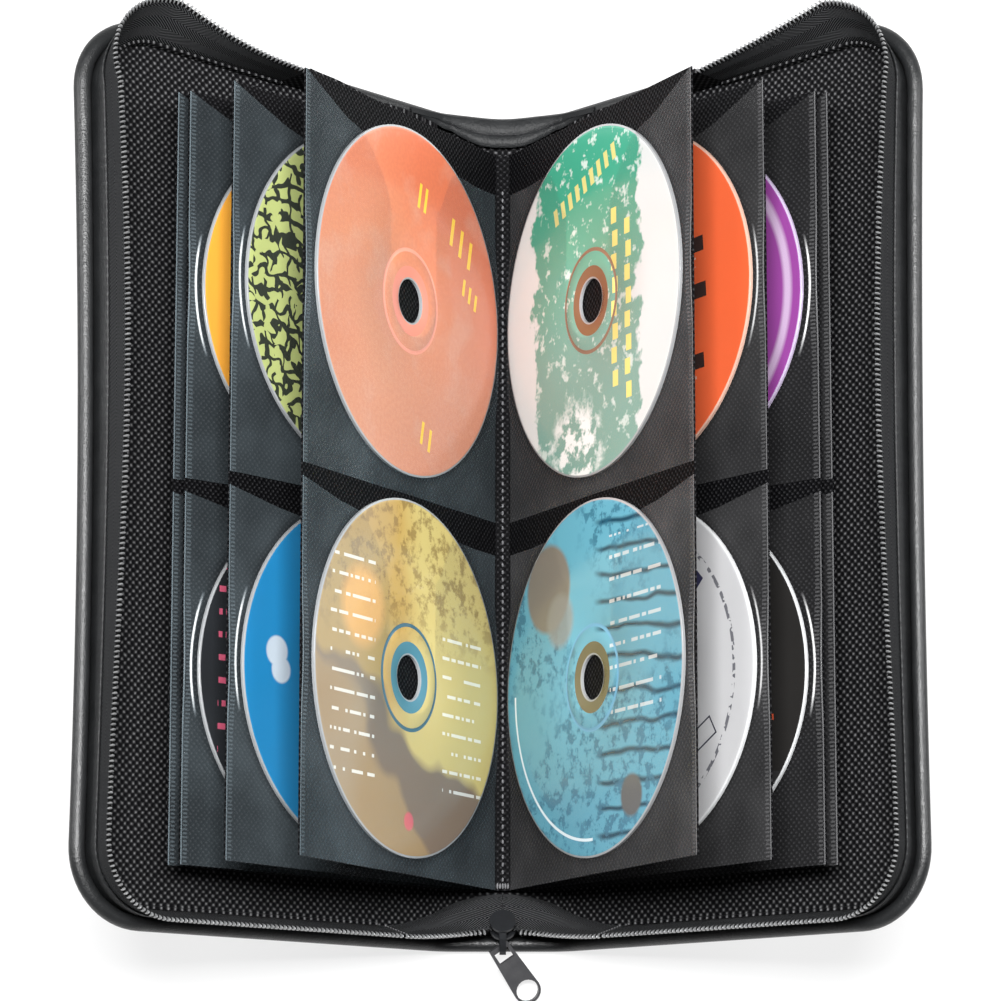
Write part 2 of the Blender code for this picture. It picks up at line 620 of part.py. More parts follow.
def build_slider():
    """The slider astride the teeth: a round plate on each side of the tape, the
    post that joins them, and the strap bail that the puller hangs in. It is
    drawn with X across, Y out along the tape's slope and Z in, then turned."""
    edge = gusset_point(1, 1.0, 1.0, TAPE_CLOTH / 2)
    foot = gusset_point(1, 1.0, 0.0, TAPE_CLOTH / 2)
    slope = math.atan2(edge[2] - foot[2], foot[1] - edge[1])
    out = Vector((0.0, -math.cos(slope), math.sin(slope)))
    inward = Vector((0.0, math.sin(slope), math.cos(slope)))
    middle = Vector((0.0, edge[1], edge[2])) - SLIDER_SEAT * out

    def placed(points):
        return [middle + Vector((x, 0.0, 0.0)) + out * y + inward * z for x, y, z in points]

    face = SLIDER_GAP / 2
    back = face + SLIDER_PLATE
    plates = [loft("plate", [placed([(x, y, z) for x, y in circle(SLIDER_RADIUS, SLIDER_STEPS)]) for z in levels])
              for levels in ((-back, -face), (face, back))]
    tape_edge = SLIDER_SEAT - (1.0 - GUSSET_TAPE_SHARE) * math.hypot(edge[2] - foot[2], foot[1] - edge[1])
    post_outline = [(-POST_HALF, tape_edge + TOUCH), (POST_HALF, tape_edge + TOUCH),
                    (POST_HALF, POST_REACH), (-POST_HALF, POST_REACH)]
    inside = face + SLIDER_PLATE / 2
    post = loft("post", [placed([(x, y, z) for x, y in post_outline]) for z in (-inside, inside)])

    tilt = math.radians(BAIL_TILT)
    reach_way = Vector((0.0, -math.cos(tilt), -math.sin(tilt)))
    rise_way = Vector((0.0, -math.sin(tilt), math.cos(tilt)))
    centre = placed([(0.0, BAIL_ROOT, -inside)])[0]
    turns = [math.pi * step / BAIL_STEPS for step in range(BAIL_STEPS + 1)]
    path = [(centre + BAIL_REACH * math.sin(a) * reach_way + BAIL_RISE * math.cos(a) * rise_way,
             math.sin(a) * reach_way + math.cos(a) * rise_way) for a in turns]
    leg = BAIL_LEG * reach_way
    path = [(path[0][0] - leg, path[0][1])] + path + [(path[-1][0] - leg, path[-1][1])]
    strap = []
    for point, away in path:
        strap.append([point + Vector((x, 0.0, 0.0)) + away * level
                      for x, level in ((-BAIL_HALF, -BAIL_STRAP / 2), (BAIL_HALF, -BAIL_STRAP / 2),
                                       (BAIL_HALF, BAIL_STRAP / 2), (-BAIL_HALF, BAIL_STRAP / 2))])
    body = combine("zip_slider", post, plates + [loft("bail", strap)])
    add_object("zip_slider", body, None, finish("metal"))
    hang = BAIL_REACH - BAIL_STRAP / 2 - math.hypot(CROSSBAR, PULLER_THICKNESS / 2) - TOUCH
    return centre + hang * reach_way - Vector((PULLER_SHIFT, 0.0, 0.0))


def build_puller(pivot):
    """A flat puller with a window over its crossbar and a round finger end."""
    half = PULLER_THICKNESS / 2
    drop = math.asin((pivot.z - FLOOR_GAP - half) / PULLER_LENGTH)
    hinge = bpy.data.objects.new("puller_hinge_line", None)
    bpy.context.scene.collection.objects.link(hinge)
    hinge.location = pivot
    hinge.rotation_euler = (0.0, 0.0, math.radians(PULLER_SKEW))
    end = PULLER_LENGTH - PULLER_END_RADIUS
    outline = [(PULLER_WIDTH / 2, CROSSBAR), (-PULLER_WIDTH / 2, CROSSBAR)]
    for step in range(PULLER_END_STEPS + 1):
        turn = math.pi * (1.0 + step / PULLER_END_STEPS)
        outline.append((PULLER_END_RADIUS * math.cos(turn), -end + PULLER_END_RADIUS * math.sin(turn)))
    blank = plate("blank", outline, -half, half)
    window = block("window", (-WINDOW_HALF, -WINDOW_END, -2 * half), (WINDOW_HALF, -CROSSBAR, 2 * half))
    hole = plate("hole", circle(PULLER_HOLE, SLIDER_STEPS, (0.0, -end)), -2 * half, 2 * half)
    puller = add_object("zip_puller", combine("zip_puller", blank, [window, hole], "DIFFERENCE"),
                        hinge, finish("metal"))
    puller.rotation_euler = (drop, 0.0, 0.0)


def build():
    clear_scene()
    build_spine()
    build_binding()
    for side, label, angles in ((-1, "left", LEFT_ANGLES), (1, "right", RIGHT_ANGLES)):
        build_cover(side, label)
        build_top_gusset(side, label)
        build_bottom_gusset(side, label)
        build_leaves(side, label, angles)
    build_puller(build_slider())


build()
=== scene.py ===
# A zip-round CD case lying open on its spine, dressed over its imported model.
# Lengths are in metres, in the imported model's frame: +Y runs along the spine
# to the case's top, +Z is up, and the zip slider is at the -Y end.
import json
import math

import bmesh
import bpy
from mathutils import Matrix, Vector, noise


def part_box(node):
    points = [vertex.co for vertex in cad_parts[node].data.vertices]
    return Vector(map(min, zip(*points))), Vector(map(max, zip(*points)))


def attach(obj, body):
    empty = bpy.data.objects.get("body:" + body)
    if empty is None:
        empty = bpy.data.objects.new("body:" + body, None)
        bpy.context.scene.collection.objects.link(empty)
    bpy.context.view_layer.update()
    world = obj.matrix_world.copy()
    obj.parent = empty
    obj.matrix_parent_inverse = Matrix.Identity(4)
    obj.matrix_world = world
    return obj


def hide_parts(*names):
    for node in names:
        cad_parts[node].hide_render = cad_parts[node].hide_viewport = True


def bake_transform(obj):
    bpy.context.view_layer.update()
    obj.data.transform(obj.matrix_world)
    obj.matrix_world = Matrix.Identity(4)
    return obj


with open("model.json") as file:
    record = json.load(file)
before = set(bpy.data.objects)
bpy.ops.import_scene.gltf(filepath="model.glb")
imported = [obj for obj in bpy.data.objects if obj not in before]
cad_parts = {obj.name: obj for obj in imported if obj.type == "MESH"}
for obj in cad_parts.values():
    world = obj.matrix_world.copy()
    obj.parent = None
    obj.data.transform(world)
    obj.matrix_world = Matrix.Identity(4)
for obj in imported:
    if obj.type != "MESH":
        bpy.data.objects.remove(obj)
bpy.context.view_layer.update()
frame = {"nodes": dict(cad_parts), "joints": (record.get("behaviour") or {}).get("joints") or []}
mm = 0.001


# Padded vinyl skin. One sheet of grained black vinyl, foam behind it, wraps
# both covers and the spine. Its edge is rolled over a cord all the way round,
# and a soft crease on each side of the spine lets the covers turn.
sides = {"left": -1, "right": 1}
joints = {joint["name"]: joint for joint in frame["joints"]}
cover_hinge = joints["right_cover_hinge"]
crease_x, crease_z = cover_hinge["pos_m"][0], cover_hinge["pos_m"][2]
open_slope = math.radians(90.0 - cover_hinge["range_deg"][1])
crease_half = 6.2 * mm
half_length = -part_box("spine_skin")[0].y
spine_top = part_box("spine_skin")[1].y
cover_width = 150.1 * mm
corner_radius = 27.0 * mm
top_slant = 10.0 * mm
lean_bottom, lean_side, lean_top, lean_zip_end = -4.6 * mm, 0.2 * mm, -11.5 * mm, 0.2 * mm
side_skew = 1.35
roll_radius, roll_lift = 2.6 * mm, 2.2 * mm
wall_start, zip_end = 30.0 * mm, 72.0 * mm
wall_seat, wall_foot, wall_top = 0.8 * mm, 5.1 * mm, 21.6 * mm
skin_thickness = 1.0 * mm
cover_crown = 1.6 * mm
bow_span = 150.0 * mm
outer_bow = {-1: (0.25, 1.9, 3.6), 1: (-1.75, 1.1, 2.2)}
edge_lift, spine_dip = 1.0, 1.8
roll_sides = 16
corner_flare = {-1: 4.2 * mm, 1: 1.3 * mm}


def shell(side, run, y, height):
    """A point by its run out from the crease (negative on the spine), its place
    along the spine and its height inside the skin's middle plane. The covers'
    outer edges bow a little, each in its own way."""
    middle, slope, curve = outer_bow[side]
    share = y / bow_span
    low = 1.0 - min(max(height / wall_top, 0.0), 1.0)
    bow = (middle + slope * share + curve * share * share) * mm
    run += bow * max(run / cover_width, 0.0) ** 2 * low
    radius = crease_half / math.tan(open_slope / 2)
    if run <= -crease_half:
        turn, x, z = 0.0, crease_x + run, crease_z
    elif run >= crease_half:
        turn = open_slope
        x, z = crease_x + run * math.cos(turn), crease_z + run * math.sin(turn)
    else:
        turn = open_slope * (run + crease_half) / (2 * crease_half)
        x = crease_x - crease_half + radius * math.sin(turn)
        z = crease_z + radius * (1.0 - math.cos(turn))
    return Vector((side * (x - height * math.sin(turn)), y, z + height * math.cos(turn)))


def smooth(t):
    t = min(max(t, 0.0), 1.0)
    return t * t * (3.0 - 2.0 * t)


def top_edge(run):
    """The cover's top edge: slanting, and dipped a little over the spine."""
    lift = edge_lift - spine_dip * smooth(-run / crease_x)
    slant = min(max(run, 0.0) / (cover_width - corner_radius), 1.0)
    return spine_top + top_slant * slant + lift * mm


def edge_path(bottom_start, top_start, step):
    """Stations round a cover's edge from its bottom to its top, each with its
    outer point (run, y), the way in, how far the zip wall leans in at its
    crest, the distance run so far, and the share of the top corner's flare."""
    straight = cover_width - corner_radius
    low_corner = corner_radius - half_length
    high_corner = top_edge(straight) - corner_radius
    stations = []

    def add(count, place):
        for i in range(count):
            stations.append(place(i / count))

    def corner(first, low, lean_from, lean_to, flare=0.0):
        def place(t):
            turn = math.radians(first + 90.0 * t)
            out = Vector((math.cos(turn), math.sin(turn)))
            centre = Vector((straight, low))
            lean = lean_from + (lean_to - lean_from) * t
            return centre + corner_radius * out, -out, lean, -flare * math.sin(math.pi * t)
        return place

    def bottom(t):
        run = bottom_start + (straight - bottom_start) * t
        return Vector((run, -half_length)), Vector((0, 1)), lean_bottom, 0.0

    def outer(t):
        lean = lean_bottom + (lean_side - lean_bottom) * math.sin(math.pi * t ** side_skew)
        y = low_corner + (high_corner - low_corner) * t
        return Vector((cover_width, y)), Vector((-1, 0)), lean, 0.0

    def top(t):
        run = straight + (top_start - straight) * t
        share = min((straight - run) / (straight - zip_end), 1.0)
        lean = lean_top + (lean_zip_end - lean_top) * share
        return Vector((run, top_edge(run))), Vector((0, -1)), lean, 0.7 * math.sin(math.pi * max(share, 0.0))

    arc = math.pi / 2 * corner_radius
    add(round((straight - bottom_start) / step), bottom)
    add(round(arc / step), corner(-90.0, low_corner, lean_bottom, lean_bottom))
    add(round((high_corner - low_corner) / step), outer)
    add(round(arc / step), corner(0.0, high_corner, lean_bottom, lean_top, 1.0))
    add(round((straight - top_start) / step), top)
    stations.append(top(1.0))
    measured, travelled = [], 0.0
    for i, (point, way_in, lean, flare) in enumerate(stations):
        if i:
            travelled += (point - stations[i - 1][0]).length
        measured.append((point, way_in, lean, travelled, flare))
    return measured


def wall_point(side, station, inset, height):
    """A point of the zip wall: inset from the rim, height above the skin."""
    point, way_in, lean, _, flare = station
    lean += corner_flare[side] * flare
    inset += lean * max(0.0, height - wall_foot) / (wall_top - wall_foot)
    at = point + way_in * inset
    return shell(side, at.x, at.y, height)


def surface(name, rows, flat=None, ring=False, capped=False):
    """A mesh through rows of points. flat gives each point's place on the
    uncut material, (row, column) to metres, as the map its finish reads."""
    count = len(rows[0])
    mesh = bpy.data.meshes.new(name)
    faces, corners = [], []
    for i in range(len(rows) - 1):
        for j in range(count if ring else count - 1):
            k = (j + 1) % count
            first, after = i * count, (i + 1) * count
            faces.append((first + j, first + k, after + k, after + j))
            corners.append(((i, j), (i, j + 1), (i + 1, j + 1), (i + 1, j)))
    if capped:
        last = (len(rows) - 1) * count
        faces.append(tuple(reversed(range(count))))
        corners.append(tuple((0, j) for j in reversed(range(count))))
        faces.append(tuple(range(last, last + count)))
        corners.append(tuple((len(rows) - 1, j) for j in range(count)))
    mesh.from_pydata([tuple(point) for row in rows for point in row], [], faces)
    if flat:
        layer = mesh.uv_layers.new(name="flat")
        loose = [flat(i, j) for face in corners for i, j in face]
        for corner, place in zip(layer.data, loose):
            corner.uv = place
    return finish_mesh(name, mesh, 40.0)


def finish_mesh(name, mesh, sharp, closed=True):
    """An object for a mesh, its faces turned out and its round parts smooth."""
    shape = bmesh.new()
    shape.from_mesh(mesh)
    if closed:
        bmesh.ops.recalc_face_normals(shape, faces=shape.faces)
    shape.to_mesh(mesh)
    shape.free()
    mesh.shade_smooth()
    mesh.set_sharp_from_angle(angle=math.radians(sharp))
    made = bpy.data.objects.new(name, mesh)
    bpy.context.scene.collection.objects.link(made)
    return made


class Value:
    """A number that changes over a surface. Sums on it add Math nodes."""

    def __init__(self, paint, socket):
        self.paint = paint
        self.socket = socket

    def do(self, operation, *others, clamp=False):
        made = self.paint.node("ShaderNodeMath", {"operation": operation, "use_clamp": clamp},
                               {i: v for i, v in enumerate((self,) + others)})
        return Value(self.paint, made.outputs[0])

    def __add__(self, other):
        return self.do("ADD", other)

    __radd__ = __add__

    def __mul__(self, other):
        return self.do("MULTIPLY", other)

    __rmul__ = __mul__

    def __sub__(self, other):
        return self.do("SUBTRACT", other)

    def __rsub__(self, other):
        return (self * -1.0) + other

    def __truediv__(self, other):
        return self.do("DIVIDE", other)

    def __pow__(self, other):
        return self.do("POWER", other)

    def __abs__(self):
        return self.do("ABSOLUTE")

    def sin(self):
        return self.do("SINE")

    def part(self):
        return self.do("FRACT")

    def under(self, limit, soft=0.0):
        """1 where the value is under the limit, fading over soft."""
        if not soft:
            return self.do("LESS_THAN", limit)
        return ((self - limit) * (-1.0 / soft)).do("ADD", 0.5, clamp=True)

    def over(self, limit, soft=0.0):
        return 1.0 - self.under(limit, soft)


class Paint:
    """A material and its nodes around one Principled BSDF."""

    def __init__(self, name, colour, roughness, **constants):
        self.material = bpy.data.materials.new(name)
        self.material.use_nodes = True
        self.tree = self.material.node_tree
        self.shader = self.tree.nodes["Principled BSDF"]
        self.material.diffuse_color = (*colour, 1.0)
        self.feed(self.shader, {"Base Color": (*colour, 1.0), "Roughness": roughness})
        self.feed(self.shader, {key.replace("_", " "): value for key, value in constants.items()})

    def feed(self, node, inputs):
        for key, value in inputs.items():
            if isinstance(value, Value):
                value = value.socket
            if isinstance(value, bpy.types.NodeSocket):
                self.tree.links.new(value, node.inputs[key])
            else:
                node.inputs[key].default_value = value

    def node(self, kind, settings=None, inputs=None):
        made = self.tree.nodes.new(kind)
        for key, value in (settings or {}).items():
            setattr(made, key, value)
        self.feed(made, inputs or {})
        return made

    def flat(self):
        """The place on the flat material, across and along, in metres."""
        place = self.node("ShaderNodeUVMap", {"uv_map": "flat"})
        parts = self.node("ShaderNodeSeparateXYZ", inputs={0: place.outputs[0]})
        return Value(self, parts.outputs[0]), Value(self, parts.outputs[1]), place.outputs[0]

    def mottle(self, place, scale, detail=2.0, rough=0.5):
        made = self.node("ShaderNodeTexNoise", inputs={
            "Vector": place, "Scale": scale, "Detail": detail, "Roughness": rough})
        return Value(self, made.outputs[0])

    def cells(self, place, scale):
        made = self.node("ShaderNodeTexVoronoi", inputs={"Vector": place, "Scale": scale})
        return Value(self, made.outputs[0])

    def mix(self, share, first, second):
        first, second = ((*c, 1.0) if isinstance(c, tuple) and len(c) == 3 else c
                         for c in (first, second))
        made = self.node("ShaderNodeMix", {"data_type": "RGBA"}, {0: share, 6: first, 7: second})
        return made.outputs[2]

    def bump(self, height, distance, strength=1.0):
        made = self.node("ShaderNodeBump", inputs={
            "Height": height, "Distance": distance, "Strength": strength})
        self.feed(self.shader, {"Normal": made.outputs[0]})

    def on(self, *objects):
        for made in objects:
            made.data.materials.clear()
            made.data.materials.append(self.material)


def vinyl_paint(name, sheen, dullness):
    """Black vinyl with a fine pebbled grain, a soft sheen and shallow creases."""
    paint = Paint(name, (0.011, 0.012, 0.013), dullness + 0.08, Specular_IOR_Level=sheen)
    _, _, place = paint.flat()
    grain = paint.cells(place, 1500.0)
    pores = paint.mottle(place, 2600.0, 1.0)
    creases = paint.mottle(place, 110.0, 4.0, 0.6)
    paint.feed(paint.shader, {
        "Base Color": paint.mix(creases, (0.006, 0.0065, 0.007), (0.018, 0.019, 0.020)),
        "Roughness": dullness + 0.16 * creases + 0.06 * pores})
    paint.bump(grain * 0.5 + pores * 0.3 + creases * 1.6, 0.16 * mm)
    return paint


vinyl = vinyl_paint("grained_vinyl", 0.5, 0.30)


def panel_rows(side, height, inset, columns, rows, crown=0.0):
    """Rows of points over a cover and half the spine, out to inset from the
    rim, crowned away from the inside by crown."""
    inner_radius = corner_radius - inset
    straight = cover_width - corner_radius
    spans = [(-crease_x, -crease_half, 4), (-crease_half, crease_half, 8),
             (crease_half, straight, columns), (straight, cover_width - inset, 10)]
    runs = [low + (high - low) * i / count for low, high, count in spans for i in range(count)]
    runs.append(cover_width - inset)
    grid, places = [], []
    for run in runs:
        cut = 0.0
        if run > straight:
            reach = min((run - straight) / inner_radius, 1.0)
            cut = inner_radius * (1.0 - math.sqrt(1.0 - reach * reach))
        low = -half_length + inset + cut
        high = top_edge(run) - inset - cut
        row, spots = [], []
        for j in range(rows + 1):
            y = low + (high - low) * j / rows
            swell = smooth((run - crease_half) / (25 * mm))
            swell *= smooth((cover_width - inset - run) / (18 * mm))
            swell *= smooth((y - low) / (18 * mm)) * smooth((high - y) / (18 * mm))
            row.append(shell(side, run, y, height - crown * swell))
            spots.append((run, y))
        grid.append(row)
        places.append(spots)
    return grid, places


def cut_area(made):
    """The area of a closed sheet's flat cloth: half of its skin's."""
    return sum(face.area for face in made.data.polygons) / 2


def over_crease(made, label, side):
    """Bake a piece's placement into its mesh. The crease's two ends are worked out and not used, so the
    piece is not bent over the crease.
    """
    side * (crease_x - crease_half)
    side * (crease_x + crease_half)
    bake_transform(made)


def sheet_piece(name, side, low, high, inset, columns, rows, crown=0.0):
    """A closed sheet between two heights, shaped by panel_rows."""
    bottom, places = panel_rows(side, low, inset, columns, rows, crown)
    top, _ = panel_rows(side, high, inset, columns, rows)
    rings = [list(a) + list(reversed(b)) for a, b in zip(bottom, top)]
    spots = [list(p) + list(reversed(p)) for p in places]
    return surface(name, rings, lambda i, j: spots[i][j % len(spots[i])], ring=True, capped=True)


for label, side in sides.items():
    skin = sheet_piece(label + "_vinyl_skin", side, -skin_thickness / 2, skin_thickness / 2,
                       roll_radius, 30, 60, cover_crown)
    stations = edge_path(-crease_x, -crease_x, 2.6 * mm)
    sections = []
    for station in stations:
        point, way_in, _, travelled, _ = station
        ring = []
        for k in range(roll_sides):
            turn = 2 * math.pi * k / roll_sides
            pucker = 0.05 * mm * math.sin(travelled / (1.9 * mm)) * max(0.0, -math.cos(turn))
            at = point + way_in * (roll_radius - (roll_radius + pucker) * math.cos(turn))
            ring.append(shell(side, at.x, at.y, roll_lift + roll_radius * math.sin(turn)))
        sections.append(ring)
    roll = surface(label + "_rolled_edge", sections,
                   lambda i, j: (stations[i][3], j * 2 * math.pi * roll_radius / roll_sides),
                   ring=True, capped=True)
    vinyl.on(skin, roll)
    for made in (skin, roll):
        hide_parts(label + "_cover_skin", "spine_skin")
        over_crease(made, label, side)


# Woven lining. Black open-weave cloth with a raised dot, glued over a board
# inside each cover and across the spine, and turned up the lower part of the
# stiff wall that carries the zip.
lining_low, lining_high = 2.7 * mm, 3.5 * mm
lining_inset = 7.4 * mm
wall_lining_top = 6.0 * mm
weave_pitch, leaf_weave_pitch = 2.7 * mm, 2.2 * mm
cloth_shadow = (0.002, 0.002, 0.0025)


def weave_paint(name, pitch, low, high, roughness):
    """Cloth with staggered raised dots, painted lighter on their tops in patches as a painted highlight,
    with painted shade in the low colour between them.
    """
    paint = Paint(name, high, roughness, Specular_IOR_Level=0.06)
    across, along, place = paint.flat()
    turn = 2 * math.pi / pitch
    wobble = (paint.mottle(place, 330.0, 1.0) - 0.5) * (0.9 * mm)
    dots = (((across + wobble) * turn).sin() * ((along + wobble) * turn).sin()) * 0.5 + 0.5
    threads = paint.mottle(place, 5200.0, 1.0)
    patches = paint.mottle(place, 420.0, 4.0)
    # Dot tops painted lighter as a painted highlight; the low colour between them is painted shade.
    share = (dots ** 4.5) * (0.2 + 0.9 * patches)
    paint.feed(paint.shader, {
        "Base Color": paint.mix(share, low, high),
        "Roughness": roughness - 0.15 * dots})
    paint.bump(dots + 0.25 * threads, 0.35 * mm)
    return paint


lining = weave_paint("woven_lining", weave_pitch, cloth_shadow, (0.18, 0.18, 0.185), 0.72)
board = Paint("stiffening_board", (0.20, 0.17, 0.13), 0.9)
fibres = board.mottle(board.node("ShaderNodeTexCoord").outputs["Object"], 900.0)
board.feed(board.shader, {"Base Color": board.mix(fibres, (0.16, 0.13, 0.10), (0.26, 0.22, 0.17))})
board.bump(fibres, 0.1 * mm)
board.on(frame["nodes"]["spine_board"])

for label, side in sides.items():
    board.on(frame["nodes"][label + "_cover_board"])
    sheet = sheet_piece(label + "_lining", side, lining_low, lining_high, lining_inset, 30, 60)
    stations = edge_path(wall_start, zip_end, 3.0 * mm)
    heights = [lining_high, wall_foot, wall_lining_top]
    rings = []
    for station in stations:
        outer = [wall_point(side, station, lining_inset + 0.05 * mm, h) for h in heights]
        inner = [wall_point(side, station, lining_inset + 0.85 * mm, h) for h in reversed(heights)]
        rings.append(outer + inner)
    levels = heights + list(reversed(heights))
    wall = surface(label + "_wall_lining", rings,
                   lambda i, j: (stations[i][3], levels[j % len(levels)]), ring=True, capped=True)
    lining.on(sheet, wall)
    for made in (sheet, wall):
        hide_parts(label + "_cover_lining", "spine_lining")
    over_crease(sheet, label, side)
    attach(wall, label + "_cover")
    lining_size = (crease_x + cover_width - lining_inset,
                   spine_top + top_slant + half_length - 2 * lining_inset)


# Stitched edge strip. A narrow vinyl strip stands just inside the roll and
# covers the foot of the zip tape. A row of thread stitches pulls its upper
# edge into small waves.
strip_inset, strip_vinyl, strip_height = 5.5 * mm, 0.5 * mm, 5.6 * mm
strip_stitch = 3.1 * mm
stitch_level = wall_foot + 0.86 * strip_height
strip_steps = 5


def threads(name, ends, radius):
    """Short rounded stitches, each between two points, in one mesh."""
    points, faces = [], []
    for first, last in ends:
        along = (last - first).normalized()
        across = along.orthogonal().normalized()
        other = along.cross(across)
        for share, size in ((0.0, 0.35), (0.2, 1.0), (0.8, 1.0), (1.0, 0.35)):
            centre = first.lerp(last, share)
            for k in range(6):
                turn = math.pi * k / 3
                points.append(centre + (across * math.cos(turn) + other * math.sin(turn)) * radius * size)
        start = len(points) - 24
        for ring in range(3):
            for k in range(6):
                a, b = start + 6 * ring + k, start + 6 * ring + (k + 1) % 6
                faces.append((a, b, b + 6, a + 6))
        faces += [tuple(start + k for k in range(6)), tuple(start + 18 + k for k in range(6))]
    mesh = bpy.data.meshes.new(name)
    mesh.from_pydata([tuple(p) for p in points], [], faces)
    return finish_mesh(name, mesh, 60.0)


def thread_paint(name, dark, light):
    """Twisted thread, lighter where it is worn."""
    paint = Paint(name, light, 0.6, Specular_IOR_Level=0.2)
    twist = paint.mottle(paint.node("ShaderNodeTexCoord").outputs["Object"], 2200.0)
    paint.feed(paint.shader, {"Base Color": paint.mix(twist, dark, light)})
    paint.bump(twist, 0.12 * mm)
    return paint


thread = thread_paint("sewing_thread", (0.005, 0.005, 0.006), (0.028, 0.028, 0.030))
worn_thread = thread_paint("worn_thread", (0.04, 0.04, 0.044), (0.26, 0.26, 0.27))

for label, side in sides.items():
    stations = edge_path(wall_start, zip_end, strip_stitch / strip_steps)
    rings, spots = [], []
    for i, station in enumerate(stations):
        wave = math.cos(2 * math.pi * i / strip_steps)
        top = wall_foot + strip_height + 0.12 * mm * wave
        puff = 0.07 * mm * (1.0 + wave)
        profile = [(strip_inset + 0.25 * mm, wall_seat),
                   (strip_inset - 0.15 * mm, wall_foot + 0.6 * mm),
                   (strip_inset - 0.45 * mm - puff, wall_foot + 2.6 * mm),
                   (strip_inset + 0.12 * mm, stitch_level),
                   (strip_inset - 0.1 * mm - puff, top - 0.35 * mm), (strip_inset + 0.1 * mm, top),
                   (strip_inset + strip_vinyl, top - 0.1 * mm), (strip_inset + strip_vinyl, wall_seat)]
        rings.append([wall_point(side, station, inset, height) for inset, height in profile])
        spots.append([(station[3], height) for _, height in profile])
    strip = surface(label + "_edge_strip_vinyl", rings,
                    lambda i, j: spots[i][j % len(spots[i])], ring=True, capped=True)
    vinyl.on(strip)
    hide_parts(label + "_edge_strip")
    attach(strip, label + "_cover")
    ends = []
    for i in range(0, len(stations) - 4, strip_steps):
        ends.append([wall_point(side, stations[k], strip_inset + 0.02 * mm, stitch_level)
                     for k in (i + 1, i + 4)])
    stitches = threads(label + "_edge_stitches", ends, 0.24 * mm)
    thread.on(stitches)
    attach(stitches, label + "_cover")


# Zip tape. Black herringbone tape sewn inside the strip, standing up to carry
# the teeth. Near the spine it leaves the stiff wall, is drawn in and lies
# back towards the slider.
tape_inset, tape_cloth = 6.3 * mm, 0.8 * mm
tape_top = 19.0 * mm
zip_in, foot_in, slider_height = 3.2 * mm, 12.6 * mm, 13.5 * mm
gusset_start = wall_start - 0.3 * mm
gusset_slack = 1.1 * mm


def tape_paint():
    """Herringbone weave: slanting ribs that turn back at each column, painted lighter on their tops as a
    painted highlight, with painted shade between them.
    """
    paint = Paint("herringbone_tape", (0.018, 0.018, 0.02), 0.62, Specular_IOR_Level=0.06)
    along, up, place = paint.flat()
    column, rib_pitch = 7.2 * mm, 1.25 * mm
    zigzag = abs((up / column).part() - 0.5) * (2.0 * column)
    ribs = ((along + zigzag * 0.9) * (2 * math.pi / rib_pitch)).sin() * 0.5 + 0.5
    fuzz = paint.mottle(place, 4200.0, 2.0)
    # Rib tops painted lighter as a painted highlight; the low colour between them is painted shade.
    paint.feed(paint.shader, {
        "Base Color": paint.mix((ribs ** 3.0) * (0.4 + 0.6 * fuzz), cloth_shadow, (0.105, 0.108, 0.112)),
        "Roughness": 0.72 - 0.22 * ribs})
    paint.bump(ribs + 0.3 * fuzz, 0.22 * mm)
    return paint


def gusset_point(side, t, share, depth):
    """A point of the soft zip beside the slider. t runs from the stiff wall to
    the slider, share from the sewn edge to the zip's edge, depth inwards."""
    wall = shell(1, gusset_start, 0.0, wall_top)
    drop = wall.z - crease_z - slider_height
    edge_z = wall.z - drop * smooth(t) - wall.x * math.tan(open_slope) * t * (1.0 - t) ** 2
    edge = Vector((wall.x * (1.0 - t), lean_bottom + zip_in * smooth(t), edge_z))
    run = gusset_start - t * (gusset_start + crease_x)
    foot = shell(1, run, foot_in * smooth(t), wall_foot + 0.3 * mm)
    way = edge - foot
    width = math.hypot(way.y, way.z)
    depth += gusset_slack * math.sin(2 * math.pi * share) * smooth(t * 1.5)
    y = tape_inset - half_length + foot.y + way.y * share + depth * way.z / width
    return Vector((side * (foot.x + way.x * share), y, foot.z + way.z * share - depth * way.y / width))


def over_soft_zip(made, label, side):
    """Bake a piece's placement into its mesh. The end of the stiff wall is worked out and not used, so the
    piece is not bent.
    """
    shell(side, gusset_start, 0.0, wall_foot).x
    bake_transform(made)


tape = tape_paint()
